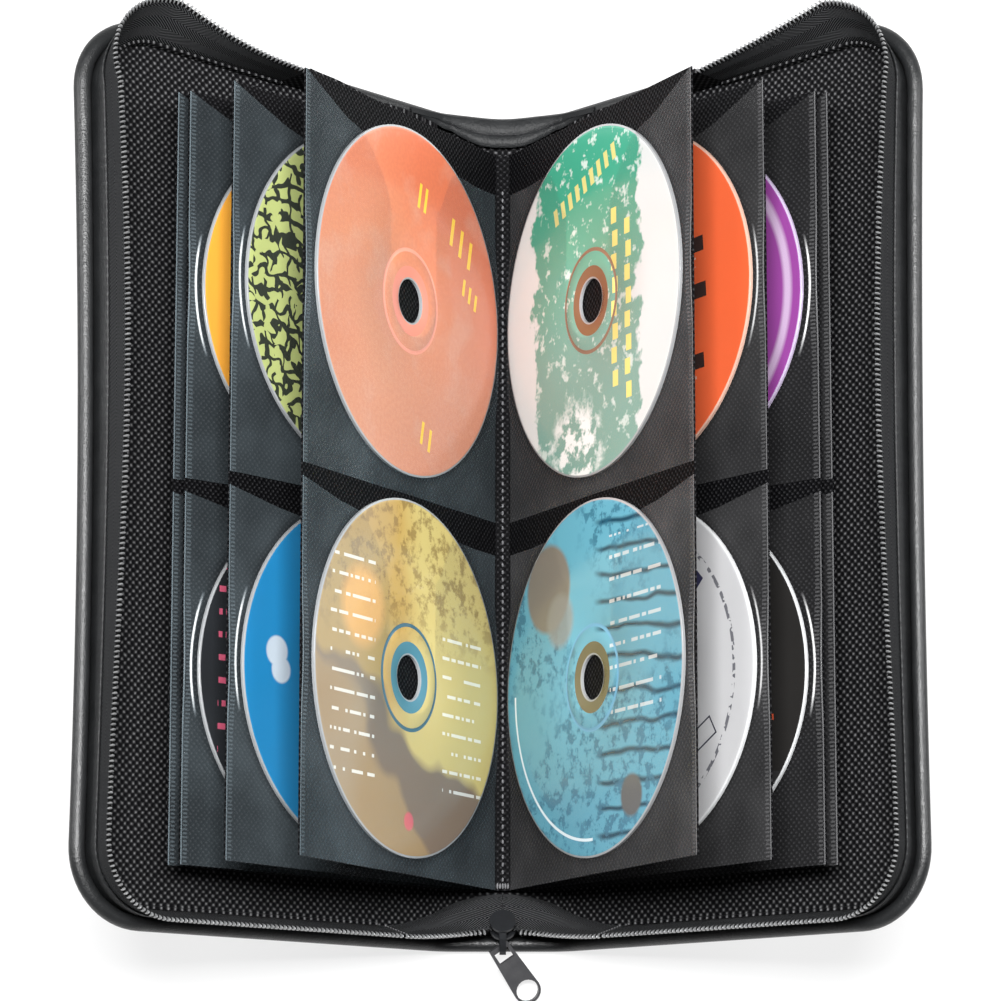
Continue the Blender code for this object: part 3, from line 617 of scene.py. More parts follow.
# The share of the soft zip's width that is cloth; the teeth take the rest.
tape_share = 0.8657
slider_steps = 40
tack_rows, tack_turn = 9, 0.05
for label, side in sides.items():
    stations = edge_path(wall_start, zip_end, 3.0 * mm)
    heights = [wall_seat, wall_foot, 8.0 * mm, 11.0 * mm, 14.0 * mm, 17.0 * mm, tape_top]
    levels = heights + list(reversed(heights))
    rings = []
    for station in stations:
        outer = [wall_point(side, station, tape_inset, h) for h in heights]
        inner = [wall_point(side, station, tape_inset + tape_cloth, h) for h in reversed(heights)]
        rings.append(outer + inner)
    wall = surface(label + "_zip_tape_cloth", rings,
                   lambda i, j: (stations[i][3], levels[j % len(levels)]), ring=True, capped=True)
    shares = [tape_share * k / 10 for k in range(11)]
    rings, spots, travelled = [], [], 0.0
    for step in range(slider_steps + 1):
        t = step / slider_steps
        ring = [gusset_point(side, t, s, 0.0) for s in shares]
        ring += [gusset_point(side, t, s, tape_cloth) for s in reversed(shares)]
        if step == slider_steps:
            ring = [Vector((side * 0.1 * mm, p.y, p.z)) for p in ring]
        travelled += (ring[len(shares) - 1] - rings[-1][len(shares) - 1]).length if rings else 0.0
        rings.append(ring)
        ups = [wall_foot + (wall_top - wall_foot) * s for s in shares]
        spots.append([(-travelled, u) for u in ups + list(reversed(ups))])
    soft = surface(label + "_soft_zip_tape", list(rings),
                   lambda i, j: spots[i][j % len(spots[i])], ring=True, capped=True)
    ends = []
    for k in range(tack_rows):
        low, high = (tape_share * (k + part) / tack_rows for part in (0.2, 0.75))
        ends.append([gusset_point(side, tack_turn, s, tape_cloth + 0.05 * mm) for s in (low, high)])
    tack = threads(label + "_gusset_stitches", ends, 0.22 * mm)
    worn_thread.on(tack)
    tape.on(wall, soft)
    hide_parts(label + "_zip_tape")
    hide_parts(label + "_bottom_gusset")
    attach(wall, label + "_cover")
    for made in (soft, tack):
        over_soft_zip(made, label, side)
    wall_run = stations[-1][3]
    cut_area(wall) / wall_run
    cut_area(soft) / travelled


# Zip teeth. Moulded black teeth clipped over the cord at the tape's edge, one
# every 1.7 mm. Their crowns shine where the light catches them, and their
# colour is painted grey in patches as a painted sheen.
tooth_pitch = 1.7 * mm
tooth_long, tooth_wide = 0.76 * mm, 1.5 * mm
tooth_rise = wall_top - tape_top - 0.1 * mm
cord_radius = 0.6 * mm


def teeth_paint():
    paint = Paint("moulded_teeth", (0.04, 0.04, 0.042), 0.30, Specular_IOR_Level=1.0, Coat_Weight=1.0)
    painted_sheen = paint.mottle(paint.node("ShaderNodeTexCoord").outputs["Object"], 700.0)
    # Painted sheen: patches of the black teeth are painted grey to stand in for their shine.
    paint.feed(paint.shader, {
        "Base Color": paint.mix(painted_sheen, (0.05, 0.05, 0.052), (0.26, 0.265, 0.27)),
        "Roughness": 0.24 + 0.16 * painted_sheen})
    return paint


def spaced(line, pitch):
    """Pairs of points (edge, foot) resampled every pitch along the edge."""
    picked, carried = [], pitch / 2
    for (edge, foot), (next_edge, next_foot) in zip(line, line[1:]):
        length = (next_edge - edge).length
        while carried < length:
            share = carried / length
            picked.append((edge.lerp(next_edge, share), foot.lerp(next_foot, share),
                           (next_edge - edge).normalized()))
            carried += pitch
        carried -= length
    return picked


def teeth_row(name, line):
    """A row of teeth with rounded crowns, astride a line of (edge, foot)."""
    half = [(-0.5, 0.05), (-0.5, 0.40), (-0.40, 0.72), (-0.22, 0.93)]
    profile = half + [(0.0, 1.0)] + [(-x, z) for x, z in reversed(half)]
    slices = ((-0.5, 0.5), (-0.32, 0.85), (0.0, 1.0), (0.32, 0.85), (0.5, 0.5))
    count = len(profile)
    points, faces = [], []
    for edge, foot, along in spaced(line, tooth_pitch):
        up = (edge - foot).normalized()
        across = along.cross(up).normalized()
        up = across.cross(along)
        for shift, size in slices:
            for x, z in profile:
                at = foot + up * tooth_rise * (0.5 + (z - 0.5) * size)
                points.append(at + across * x * size * tooth_wide + along * shift * tooth_long)
        start, last = len(points) - len(slices) * count, len(points) - count
        for ring in range(len(slices) - 1):
            for k in range(count):
                a, b = start + count * ring + k, start + count * ring + (k + 1) % count
                faces.append((a, b, b + count, a + count))
        faces += [tuple(start + k for k in range(count)), tuple(last + k for k in range(count))]
    mesh = bpy.data.meshes.new(name)
    mesh.from_pydata([tuple(p) for p in points], [], faces)
    return finish_mesh(name, mesh, 50.0)


def cord_along(name, line, radius):
    """The cord that the teeth are clipped to."""
    rings = []
    for i, (edge, foot) in enumerate(line):
        ahead = line[min(i + 1, len(line) - 1)][0] - line[max(i - 1, 0)][0]
        across = ahead.cross(edge - foot).normalized() * radius
        up = (edge - foot).normalized() * radius
        centre = foot + up
        rings.append([centre + across * math.cos(a) + up * math.sin(a)
                      for a in (math.pi * k / 4 for k in range(8))])
    return surface(name, rings, lambda i, j: (i * 3.0 * mm, j * radius), ring=True, capped=True)


teeth = teeth_paint()
dark_cord = Paint("teeth_cord", (0.004, 0.004, 0.004), 0.9, Specular_IOR_Level=0.05)
dark_cord.bump(dark_cord.mottle(dark_cord.flat()[2], 2500.0), 0.1 * mm)
slider_half = 4.9 * mm
for label, side in sides.items():
    middle = tape_inset + tape_cloth / 2
    wall_line = [(wall_point(side, s, middle, wall_top), wall_point(side, s, middle, tape_top))
                 for s in edge_path(wall_start, zip_end, 3.0 * mm)]
    last = 1.0 - slider_half / shell(1, gusset_start, 0.0, wall_top).x
    soft_line = []
    for step in range(31):
        t = last * step / 30
        soft_line.append([gusset_point(side, t, s, tape_cloth / 2) for s in (1.0, tape_share)])
    for where, line in (("wall", wall_line), ("soft", soft_line)):
        row = teeth_row(f"{label}_{where}_teeth", line)
        cord = cord_along(f"{label}_{where}_teeth_cord", line, cord_radius)
        teeth.on(row)
        dark_cord.on(cord)
        for made in (row, cord):
            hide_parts(label + ("_zip_teeth" if where == "wall" else "_bottom_teeth"))
            if where == "wall":
                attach(made, label + "_cover")
            else:
                over_soft_zip(made, label, side)


# Top gussets and facing. Beyond the zip's end a hemmed tongue of lining cloth
# runs down to the spine, and a padded vinyl lip, stitched along its middle,
# is turned in over the spine's top end.
gusset_tip, hem = 6.5 * mm, 1.5 * mm
lip_width, lip_thickness = 9.0 * mm, 1.5 * mm
lip_vinyl = vinyl_paint("worn_lip_vinyl", 0.16, 0.34)
lip_stitch, lip_seam, lip_tail = 2.9 * mm, 0.52, 17.0 * mm


def lip_reach(run):
    """The share of its width that the lip has at a run, tapering to its tail."""
    return 0.12 + 0.38 * smooth(1.0 - run / lip_tail) + 0.5 * smooth(-run / (16 * mm))


for label, side in sides.items():
    steps = 44
    rings, spots = [], []
    for step in range(steps + 1):
        share = step / steps
        run = zip_end + (gusset_tip - zip_end) * share
        crest = wall_top + (wall_foot + hem - wall_top) * share ** 0.9
        sag = 0.7 * mm * math.sin(math.pi * share) * math.sin(3.0 * math.pi * share)
        heights = [wall_seat] + [wall_foot + (crest - wall_foot) * k / 4 for k in range(5)]
        ring = []
        for inset, levels in ((0.0, heights), (tape_cloth, list(reversed(heights)))):
            for h in levels:
                lean = lean_zip_end * max(0.0, h - wall_foot) / (wall_top - wall_foot)
                roll = 0.35 * mm if h == heights[-1] else 0.0
                wide = -roll if inset == 0.0 else roll
                ring.append(shell(side, run, top_edge(run) - tape_inset - inset - lean - wide + sag, h))
        rings.append(ring)
        ups = heights + list(reversed(heights))
        spots.append([(run, u) for u in ups])
    gusset = surface(label + "_top_gusset_cloth", rings,
                     lambda i, j: spots[i][j % len(spots[i])], ring=True, capped=True)
    lining.on(gusset)
    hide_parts(label + "_top_gusset")
    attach(gusset, label + "_cover")

    lip_runs = [-crease_x + (crease_x + lip_tail) * k / 30 for k in range(31)]
    rings = []
    for run in lip_runs:
        reach = lip_reach(run)
        start = top_edge(run) - roll_radius
        end = start - lip_width * reach
        span = start - end
        level = roll_lift + 2 * roll_radius - 2.4 * mm * (1.0 - min(2 * reach, 1.0))
        level += 0.25 * mm * math.sin(run / (2.6 * mm)) * reach
        profile = [(start, level - lip_thickness), (start + 0.6 * mm, level - 0.2 * mm),
                   (start - 1.5 * mm, level + 0.25 * mm), (start - 0.42 * span, level + 0.1 * mm),
                   (start - lip_seam * span, level - 0.25 * mm),
                   (start - 0.62 * span, level + 0.1 * mm), (end + 0.8 * mm, level),
                   (end, level - 0.6 * mm), (end + 0.6 * mm, level - lip_thickness)]
        rings.append([shell(side, run, y, h) for y, h in profile])
    lip = surface(label + "_top_lip", rings,
                  lambda i, j: (lip_runs[i], (j % len(profile)) * 1.4 * mm), ring=True, capped=True)
    lip_vinyl.on(lip)
    ends = []
    for k in range(int(crease_x / lip_stitch)):
        runs = (-crease_x + (k + 0.15) * lip_stitch, -crease_x + (k + 0.8) * lip_stitch)
        ends.append([shell(side, run, top_edge(run) - roll_radius - lip_seam * lip_width * lip_reach(run),
                           roll_lift + 2 * roll_radius - 0.1 * mm) for run in runs])
    stitches = threads(label + "_lip_stitches", ends, 0.22 * mm)
    thread.on(stitches)
    for made in (lip, stitches):
        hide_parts("spine_top_facing")
        over_crease(made, label, side)


# Binding. The folded middles of the four double leaves lie stacked on the
# spine and are sewn through with one long row of stitches.
backing_cloth = weave_paint("leaf_cloth", leaf_weave_pitch, cloth_shadow, (0.045, 0.045, 0.048), 0.66)
leaf_joints = {label: [joints[f"{label}_leaf_{k}_turn"] for k in (1, 2, 3, 4)] for label in sides}
fold_low, fold_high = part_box("leaf_fold_stack")
stack_half = fold_high.x
valley = [(-stack_half, fold_low.z), (-stack_half, fold_low.z + 0.8 * mm),
          (-stack_half * 0.6, fold_high.z - 2.0 * mm), (-2.2 * mm, fold_high.z - 0.3 * mm),
          (-1.3 * mm, fold_high.z - 0.45 * mm), (0.0, fold_high.z - 0.9 * mm)]
valley += [(-x, z) for x, z in reversed(valley[:-1])]
lines = [fold_low.y + (fold_high.y - fold_low.y) * k / 60 for k in range(61)]
stack = surface("folded_leaf_stack", [[Vector((x, y, z)) for x, z in valley] for y in lines],
                lambda i, j: (lines[i], valley[j % len(valley)][0]), ring=True, capped=True)
backing_cloth.on(stack)
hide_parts("leaf_fold_stack")
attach(stack, "spine")
# One row of stitches down the valley, then a bar tack across its lower end.
binding_pitch, tack_threads = 2.6 * mm, 7
ends = []
y = fold_low.y + 3 * mm
while y < fold_high.y - 14 * mm:
    ends.append([Vector((0, at, fold_high.z - 0.72 * mm)) for at in (y, y + 0.55 * binding_pitch)])
    y += binding_pitch
for k in range(tack_threads):
    across = (k - tack_threads // 2) * 0.9 * mm
    ends.append([Vector((across, fold_low.y + y, fold_high.z - 0.1 * mm)) for y in (0.5 * mm, 2.4 * mm)])
binding = threads("binding_stitches", ends, 0.38 * mm)
worn_thread.on(binding)
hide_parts("binding_thread")
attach(binding, "spine")


# Leaves. Each is a black cloth sheet with two clear film pockets welded to
# its outer and lower edges. The film stands off the cloth over the disc and
# is cut down in a thumb notch to the disc's hole.
leaf_width, leaf_height = 127.0 * mm, 259.0 * mm
backing_half = 0.25 * mm
disc_radius, disc_centre, disc_pitch = 60.0 * mm, 61.3 * mm, 128.4 * mm
disc_level, disc_thick = 0.55 * mm, 1.2 * mm
film_low = 0.5 * mm
film_high = disc_level + disc_thick + 0.25 * mm
mouth = 4.4 * mm
weld = 4.0 * mm
notch_radius, notch_x, notch_drop = 15.0 * mm, 59.6 * mm, 12.0 * mm
mouth_near_fold, mouth_outside, mouth_shoulder = 34.0 * mm, 30.0 * mm, 50.5 * mm


def on_leaf(side, joint, x, y, height):
    """A point of a leaf: out from its fold, along it, above its middle plane."""
    tilt = math.radians(joint["range_deg"][1])
    px, _, pz = joint["pos_m"]
    return Vector((px + side * (x * math.sin(tilt) - height * math.cos(tilt)), y,
                   pz + x * math.cos(tilt) + height * math.sin(tilt)))


def film_height(x, y, centre, filled, seed):
    """How far the film stands off: taut over the disc, down to the welds."""
    gap = math.hypot(x - disc_centre, y - centre) - disc_radius
    ripple = noise.noise(Vector((x * 26, y * 20, seed * 7.3)))
    if not filled:
        sag = smooth((leaf_width - weld - x) / (30 * mm)) * smooth(x / (30 * mm))
        return film_low + 0.9 * mm * sag + 0.25 * mm * ripple * sag
    share = 1.0 - smooth(gap / (9 * mm))
    height = film_low + (film_high - film_low) * share
    loose = smooth((gap + 12 * mm) / (10 * mm)) * smooth((leaf_width - weld - x) / (3 * mm))
    return height + 0.16 * mm * ripple * loose


def film_mesh(name, side, joint, bottom, top, centre, filled, seed):
    """One pocket's film in three blocks of columns: beside the fold, under the
    notch, and outside it."""
    inner, outer = 1.2 * mm, leaf_width
    notch_y = centre - notch_drop + notch_radius
    under = notch_y - 1.25 * notch_radius
    shoulder = centre + mouth_shoulder
    shoulder_x = disc_centre + disc_radius / 2

    def upper(x):
        """The pocket's mouth on both sides of the notch."""
        if x < notch_x:
            share = smooth((notch_x - notch_radius - x) / (12 * mm))
            low = centre + mouth_near_fold
            return low + share * (shoulder - low)
        if x < shoulder_x:
            share = (x - notch_x - notch_radius) / (shoulder_x - notch_x - notch_radius)
            low = centre + mouth_outside
            return low + (shoulder - low) * min(max(share, 0.0), 1.0) ** 0.7
        return shoulder + (top - shoulder) * (x - shoulder_x) / (outer - shoulder_x)

    columns = [(inner + (notch_x - notch_radius - inner) * (i / 16), "inner") for i in range(17)]
    for i in range(1, 16):
        columns.append((notch_x - notch_radius * math.cos(math.pi * i / 16), "notch"))
    first = notch_x + notch_radius
    weld_x = outer - weld
    columns += [(first + (weld_x - first) * i / 20, "outer") for i in range(21)]
    columns += [(weld_x + (outer - weld_x) * i / 4, "outer") for i in range(1, 5)]
    low_rows, mid_rows, high_rows = 26, 8, 18
    points, flats, faces, starts, counts = [], [], [], [], []
    for x, block in columns:
        deep = notch_y
        if block == "notch":
            deep = notch_y - math.sqrt(max(notch_radius ** 2 - (x - notch_x) ** 2, 0.0))
        ys = [bottom + (under - bottom) * j / low_rows for j in range(low_rows)]
        ys += [under + (deep - under) * j / mid_rows for j in range(mid_rows + 1)]
        if block != "notch":
            ys += [deep + (upper(x) - deep) * j / high_rows for j in range(1, high_rows + 1)]
        starts.append(len(points))
        counts.append(len(ys))
        for y in ys:
            points.append(on_leaf(side, joint, x, y, film_height(x, y, centre, filled, seed)))
            flats.append((side * x, y))
    for i in range(len(columns) - 1):
        for j in range(min(counts[i], counts[i + 1]) - 1):
            a, b = starts[i] + j, starts[i + 1] + j
            faces.append((a, b, b + 1, a + 1)[::side])
    mesh = bpy.data.meshes.new(name)
    mesh.from_pydata([tuple(p) for p in points], [], faces)
    layer = mesh.uv_layers.new(name="flat")
    for face in mesh.polygons:
        for loop in face.loop_indices:
            layer.data[loop].uv = flats[mesh.loops[loop].vertex_index]
    return finish_mesh(name, mesh, 80.0, closed=False)


crease_gap, glare_shift = 3.2 * mm, 4.0 * mm


def film_paint(name, tint, haze_and_reflection, glare):
    """Clear soft film: what lies behind shows through a thin glossy coat, hazy
    in patches, with a knurled weld along the outer edge. The strength given
    for each leaf sets the haze together with a painted reflection that differs
    from leaf to leaf, and glare how bright a painted highlight is along the
    crease outside each disc."""
    paint = Paint(name, tint, 0.16, Specular_IOR_Level=0.7)
    across, along, place = paint.flat()
    haze = paint.mottle(place, 26.0, 3.0, 0.55)
    edge = abs(abs(across) - (leaf_width - 0.45 * weld)).under(0.9 * mm)
    knurl = ((along * (2 * math.pi / (1.3 * mm))).sin() * 0.5 + 0.5).over(0.5)
    rim = abs(across).over(leaf_width - 0.5 * mm)
    out, up = abs(across) - disc_centre, abs(along) - disc_pitch / 2
    gap = (out * out + up * up).do("SQRT") - disc_radius
    # A painted highlight along the crease outside each disc: the film turns less clear and near white there.
    crease_glare = abs(gap - crease_gap).under(0.35 * mm, 0.4 * mm) * out.over(0.0)
    crease_glare = crease_glare * abs(up + glare_shift).under(17.0 * mm, 8.0 * mm) * glare
    slack = haze_and_reflection * (0.25 + 0.95 * gap.over(1.5 * mm, 4.0 * mm))
    seen = slack * (0.02 + 0.20 * (haze ** 2.0)) + edge * knurl * 0.10 + rim * 0.25 + crease_glare * 0.8
    gloss = paint.node("ShaderNodeFresnel", inputs={"IOR": 1.5})
    clear = paint.node("ShaderNodeBsdfTransparent")
    share = (Value(paint, gloss.outputs[0]) * 0.25 + seen).do("MINIMUM", 0.85)
    both = paint.node("ShaderNodeMixShader", inputs={
        0: share, 1: clear.outputs[0], 2: paint.shader.outputs[0]})
    paint.feed(paint.tree.nodes["Material Output"], {"Surface": both.outputs[0]})
    paint.feed(paint.shader, {"Base Color": paint.mix(crease_glare, tint, (0.9, 0.9, 0.9)),
                              "Roughness": 0.10 + 0.16 * haze})
    paint.bump(haze + edge * knurl * 0.3, 0.15 * mm)
    return paint


film_tints = {"left": (0.36, 0.45, 0.50), "right": (0.40, 0.40, 0.41)}
# Haze strength for each leaf, which also holds a painted reflection that differs from leaf to leaf.
film_haze_and_reflection = {"left": (0.7, 0.8, 0.6, 0.4), "right": (0.75, 0.5, 0.15, 0.2)}
film_glares = {"left": (0.0, 0.9, 1.0, 0.0), "right": (0.0, 0.7, 1.0, 0.0)}
filled_leaves = (1, 2, 3)
fold_gap = 0.3 * mm
for label, side in sides.items():
    for number, joint in enumerate(leaf_joints[label], start=1):
        name = f"{label}_leaf_{number}"
        clear_film = film_paint(name + "_clear_film", film_tints[label], film_haze_and_reflection[label][number - 1],
                                film_glares[label][number - 1])
        half = leaf_height / 2
        rings, runs = [], [fold_gap + (leaf_width - fold_gap) * i / 24 for i in range(25)]
        ys = [-half + leaf_height * j / 40 for j in range(41)]
        for x in runs:
            ring = [on_leaf(side, joint, x, y, -backing_half) for y in ys]
            ring += [on_leaf(side, joint, x, y, backing_half) for y in reversed(ys)]
            rings.append(ring)
        wide = ys + list(reversed(ys))
        backing = surface(name + "_cloth", rings,
                          lambda i, j: (runs[i], wide[j % len(wide)]), ring=True, capped=True)
        backing_cloth.on(backing)
        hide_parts(name + "_backing")
        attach(backing, name)
        filled = number in filled_leaves
        pockets = [("upper", -mouth / 2, half, disc_pitch / 2),
                   ("lower", -half, -1.5 * mouth, -disc_pitch / 2)]
        for place, low, high, centre in pockets:
            film = film_mesh(f"{name}_{place}_film", side, joint, low, high, centre, filled, side * number)
            clear_film.on(film)
            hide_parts(name + "_pockets")
            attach(film, name)


# Discs. Clear plastic, 120 mm across, printed on the side that shows. Each
# has a moulded stacking ring round its hub and a clear band at its rim.
# The profile is (radius, level) in millimetres, from the rim in to the hole.
disc_steps = 96
disc_profile = [(60.0, 0.15), (60.0, 1.05), (59.8, 1.2), (58.6, 1.2), (40.0, 1.2), (18.4, 1.2),
                (18.0, 1.05), (17.4, 1.05), (17.0, 1.2), (12.0, 1.2), (11.7, 1.12), (7.8, 1.12),
                (7.5, 0.95), (7.5, 0.15), (7.7, 0.0), (59.8, 0.0)]


def disc_object(name, side, joint, centre):
    rings, spots = [], []
    for k in range(disc_steps + 1):
        turn = 2 * math.pi * k / disc_steps
        ring, places = [], []
        for radius, level in disc_profile:
            x, y = radius * mm * math.cos(turn), radius * mm * math.sin(turn)
            ring.append(on_leaf(side, joint, disc_centre + x, centre + y, disc_level + level * mm))
            places.append((side * x, y))
        rings.append(ring)
        spots.append(places)
    made = surface(name, rings, lambda i, j: spots[i][j % len(disc_profile)], ring=True)
    shape = bmesh.new()
    shape.from_mesh(made.data)
    bmesh.ops.remove_doubles(shape, verts=shape.verts, dist=0.00001)
    bmesh.ops.recalc_face_normals(shape, faces=shape.faces)
    shape.to_mesh(made.data)
    shape.free()
    return made


class Label(Paint):
    """Printed side of a disc. Layers of colour are laid over each other, then
    the clear rim, painted as an opaque pale band for a painted reflection, and
    the hub's rings over them all."""

    def __init__(self, name, colour):
        super().__init__(name, colour, 0.22, Specular_IOR_Level=0.6, Coat_Weight=0.3)
        self.x, self.y, self.place = self.flat()
        self.radius = (self.x * self.x + self.y * self.y).do("SQRT")
        lighter = tuple(min(1.0, c * 1.12) for c in colour)
        self.colour = self.mix(self.mottle(self.place, 18.0), colour, lighter)

    def lay(self, share, colour):
        self.colour = self.mix(share, self.colour, colour)

    def bar(self, x, y, width, height, tilt=0.0):
        """A plain bar centred on (x, y), in millimetres, tilted in degrees."""
        turn = math.radians(tilt)
        across = (self.x - x * mm) * math.cos(turn) + (self.y - y * mm) * math.sin(turn)
        along = (self.y - y * mm) * math.cos(turn) - (self.x - x * mm) * math.sin(turn)
        return abs(across).under(width / 2 * mm) * abs(along).under(height / 2 * mm)

    def spot(self, x, y, radius, soft=0.4):
        away = ((self.x - x * mm) ** 2.0 + (self.y - y * mm) ** 2.0).do("SQRT")
        return away.under(radius * mm, soft * mm)

    def dashes(self, left, right, low, high, pitch, thick, seed):
        """Rows of broken dashes inside a box, in millimetres."""
        up = (self.y / (pitch * mm)) + seed
        row = up.do("FLOOR")
        inside = abs(up.part() - 0.5).under(thick / pitch / 2)
        step = (self.x / (1.4 * mm)).do("FLOOR")
        where = self.node("ShaderNodeCombineXYZ", inputs={0: step, 1: row, 2: seed})
        chance = self.node("ShaderNodeTexWhiteNoise", {"noise_dimensions": "3D"},
                           {"Vector": where.outputs[0]})
        broken = Value(self, chance.outputs[0]).over(0.34)
        box = abs(self.x - (left + right) / 2 * mm).under((right - left) / 2 * mm)
        box = box * abs(self.y - (low + high) / 2 * mm).under((high - low) / 2 * mm)
        return inside * broken * box

    def done(self, hub, ring, painted_rim_reflection=(0.36, 0.37, 0.38)):
        """The hub's plain rings and the rim's painted reflection, then the finish."""
        self.lay(self.radius.under(18.2 * mm) * self.radius.over(16.9 * mm), ring)
        self.lay(self.radius.under(12.0 * mm), hub)
        self.lay(self.radius.under(8.1 * mm), (0.30, 0.31, 0.32))
        # The clear rim is painted an opaque pale colour as a painted reflection.
        self.lay(self.radius.over(59.3 * mm), painted_rim_reflection)
        self.feed(self.shader, {"Base Color": self.colour})
        grooves = abs(self.radius - 17.6 * mm).under(0.6 * mm)
        self.bump(self.mottle(self.place, 900.0) * 0.05 - grooves * 0.4, 0.1 * mm)
        return self


def left_1_upper():
    """Coral fading to orange, with yellow bars."""
    label = Label("coral_label", (0.62, 0.20, 0.105))
    label.lay(label.x.over(-8 * mm, 30 * mm) * 0.5, (0.66, 0.13, 0.06))
    label.lay(label.y.under(5 * mm, 70 * mm) * 0.6, (0.62, 0.32, 0.21))
    label.lay(label.mottle(label.place, 45.0, 4.0).over(0.58, 0.15) * 0.3, (0.62, 0.38, 0.30))
    label.lay(label.mottle(label.place, 700.0, 1.0).over(0.5, 0.2) * 0.12, (0.40, 0.10, 0.07))
    for x, y, width, height in ((6, 38, 1.6, 9), (10, 37, 1.6, 9), (28, 30, 2, 10), (34, 27, 2, 10),
                                (40, 24, 2, 10), (36, 12, 1.6, 6), (40, 10, 1.6, 6), (44, 8, 1.6, 6),
                                (8, -44, 1.6, 8), (13, -46, 1.6, 8)):
        label.lay(label.bar(x, y, width, height, -12), (0.90, 0.55, 0.06))
    return label.done((0.72, 0.22, 0.16), (0.80, 0.30, 0.22))


def left_1_lower():
    """Gold over grey-brown hills, with thin pale dashes."""
    label = Label("golden_label", (0.46, 0.30, 0.09))
    wave = label.mottle(label.place, 22.0, 2.0) - 0.5
    label.lay((label.x + wave * 0.05).over(0.0, 18 * mm), (0.58, 0.46, 0.17))
    scrub = label.mottle(label.place, 160.0, 4.0, 0.7).over(0.54, 0.1)
    label.lay(scrub * label.y.over(16 * mm, 20 * mm) * 0.6, (0.16, 0.09, 0.03))
    label.lay((label.y + 0.4 * label.x + wave * 0.07).under(-14 * mm, 6 * mm), (0.21, 0.145, 0.10))
    label.lay((label.y + 0.9 * label.x + wave * 0.10).under(-46 * mm, 8 * mm), (0.36, 0.24, 0.12))
    label.lay((label.x - 0.2 * label.y + wave * 0.04).under(-26 * mm, 16 * mm) * 0.4, (0.42, 0.34, 0.25))
    label.lay(label.spot(-30, 20, 13, 5) * 0.75, (0.82, 0.45, 0.16))
    label.lay(label.dashes(-50, -22, -40, 38, 6.4, 1.1, 3) * 0.75, (0.88, 0.86, 0.80))
    label.lay(label.dashes(22, 48, -38, 18, 6.4, 1.1, 8) * 0.7, (0.88, 0.86, 0.80))
    label.lay(label.spot(0, -48, 3, 1) * 0.8, (0.70, 0.10, 0.14))
    return label.done((0.07, 0.20, 0.26), (0.05, 0.13, 0.18))


def left_2_upper():
    """Lime with a dense dark pattern of broken wavy strokes."""
    label = Label("lime_label", (0.50, 0.56, 0.20))
    bend = label.mottle(label.place, 130.0, 1.0) - 0.5
    rows = abs((label.y / (6.2 * mm) + bend * 2.4).part() - 0.5)
    posts = abs((label.x / (5.4 * mm) + bend * 2.8).part() - 0.5)
    breaks = label.mottle(label.place, 210.0, 0.0)
    strokes = rows.under(0.17).do("MAXIMUM", posts.under(0.16) * breaks.over(0.45))
    label.lay(strokes * breaks.over(0.33), (0.03, 0.035, 0.02))
    return label.done((0.45, 0.50, 0.20), (0.40, 0.45, 0.15))


def left_2_lower():
    """Strong blue with one pale pebble and small yellow marks."""
    label = Label("blue_label", (0.008, 0.21, 0.46))
    label.lay(label.x.over(-26 * mm, 24 * mm) * 0.4, (0.03, 0.32, 0.62))
    pebble = label.spot(-44, 5, 5.0, 0.8).do("MAXIMUM", label.spot(-42, -1, 4.4, 0.8))
    label.lay(pebble, (0.56, 0.64, 0.72))
    label.lay(label.dashes(-32, -18, -2, 5, 4.0, 1.0, 5), (0.62, 0.52, 0.08))
    label.lay(abs(label.spot(-18, 44, 5, 0.4) - label.spot(-18, 44, 3.6, 0.4)), (0.72, 0.55, 0.06))
    return label.done((0.05, 0.22, 0.55), (0.05, 0.25, 0.6))


def left_3_upper():
    """Amber fading to yellow, with one thin dark outline."""
    label = Label("amber_label", (0.80, 0.36, 0.035))
    label.lay(label.x.over(-36 * mm, 22 * mm) * 0.6, (0.82, 0.46, 0.08))
    label.lay(label.y.under(-20 * mm, 40 * mm) * 0.4, (0.72, 0.28, 0.03))
    frame_line = label.bar(-22, 22, 18, 26, 8) - label.bar(-22, 22, 16.6, 24.6, 8)
    label.lay(frame_line, (0.04, 0.12, 0.03))
    return label.done((0.70, 0.40, 0.10), (0.70, 0.35, 0.06))


def left_3_lower():
    """Black with rows of pink and pale bars."""
    label = Label("black_bar_label", (0.012, 0.012, 0.014))
    label.lay(label.dashes(-52, -46, -34, 44, 7.6, 2.0, 2), (0.62, 0.10, 0.18))
    label.lay(label.dashes(-45, -30, -34, 44, 7.6, 2.0, 4), (0.66, 0.64, 0.64))
    label.lay(label.dashes(-44, -30, -32, 46, 7.6, 1.6, 6.5), (0.58, 0.10, 0.20))
    return label.done((0.05, 0.05, 0.06), (0.05, 0.05, 0.06))


def right_1_upper():
    """A ragged sea-green band between white sides, with yellow squares."""
    label = Label("sea_green_label", (0.66, 0.69, 0.68))
    wave = label.mottle(label.place, 55.0, 4.0, 0.6) - 0.5
    speck = label.mottle(label.place, 140.0, 3.0, 0.7)
    green = label.mix(label.y.over(8 * mm, 60 * mm), (0.20, 0.38, 0.32), (0.05, 0.34, 0.22))
    ragged = label.x + wave * 0.03
    band = ragged.over(-38 * mm, 1.5 * mm) * ragged.under(33 * mm, 1.5 * mm)
    label.lay(band, green)
    label.lay(band * speck.over(0.60, 0.08) * 0.75, (0.72, 0.80, 0.76))
    label.lay(label.spot(-10, -50, 16, 10) * speck.over(0.5, 0.1), (0.85, 0.88, 0.87))
    for x in (16, 25):
        for k in range(8):
            square = label.bar(x + (k % 2) * 0.8, 26 - 8 * k - (x - 16) * 0.6, 3.6, 5.4)
            label.lay(square, (0.86, 0.74, 0.22))
    for k in range(9):
        label.lay(label.bar(-24 + 5 * k, 34 + 1.8 * k, 2.6, 6, 14), (0.62, 0.60, 0.22))
    return label.done((0.20, 0.10, 0.05), (0.24, 0.14, 0.09))


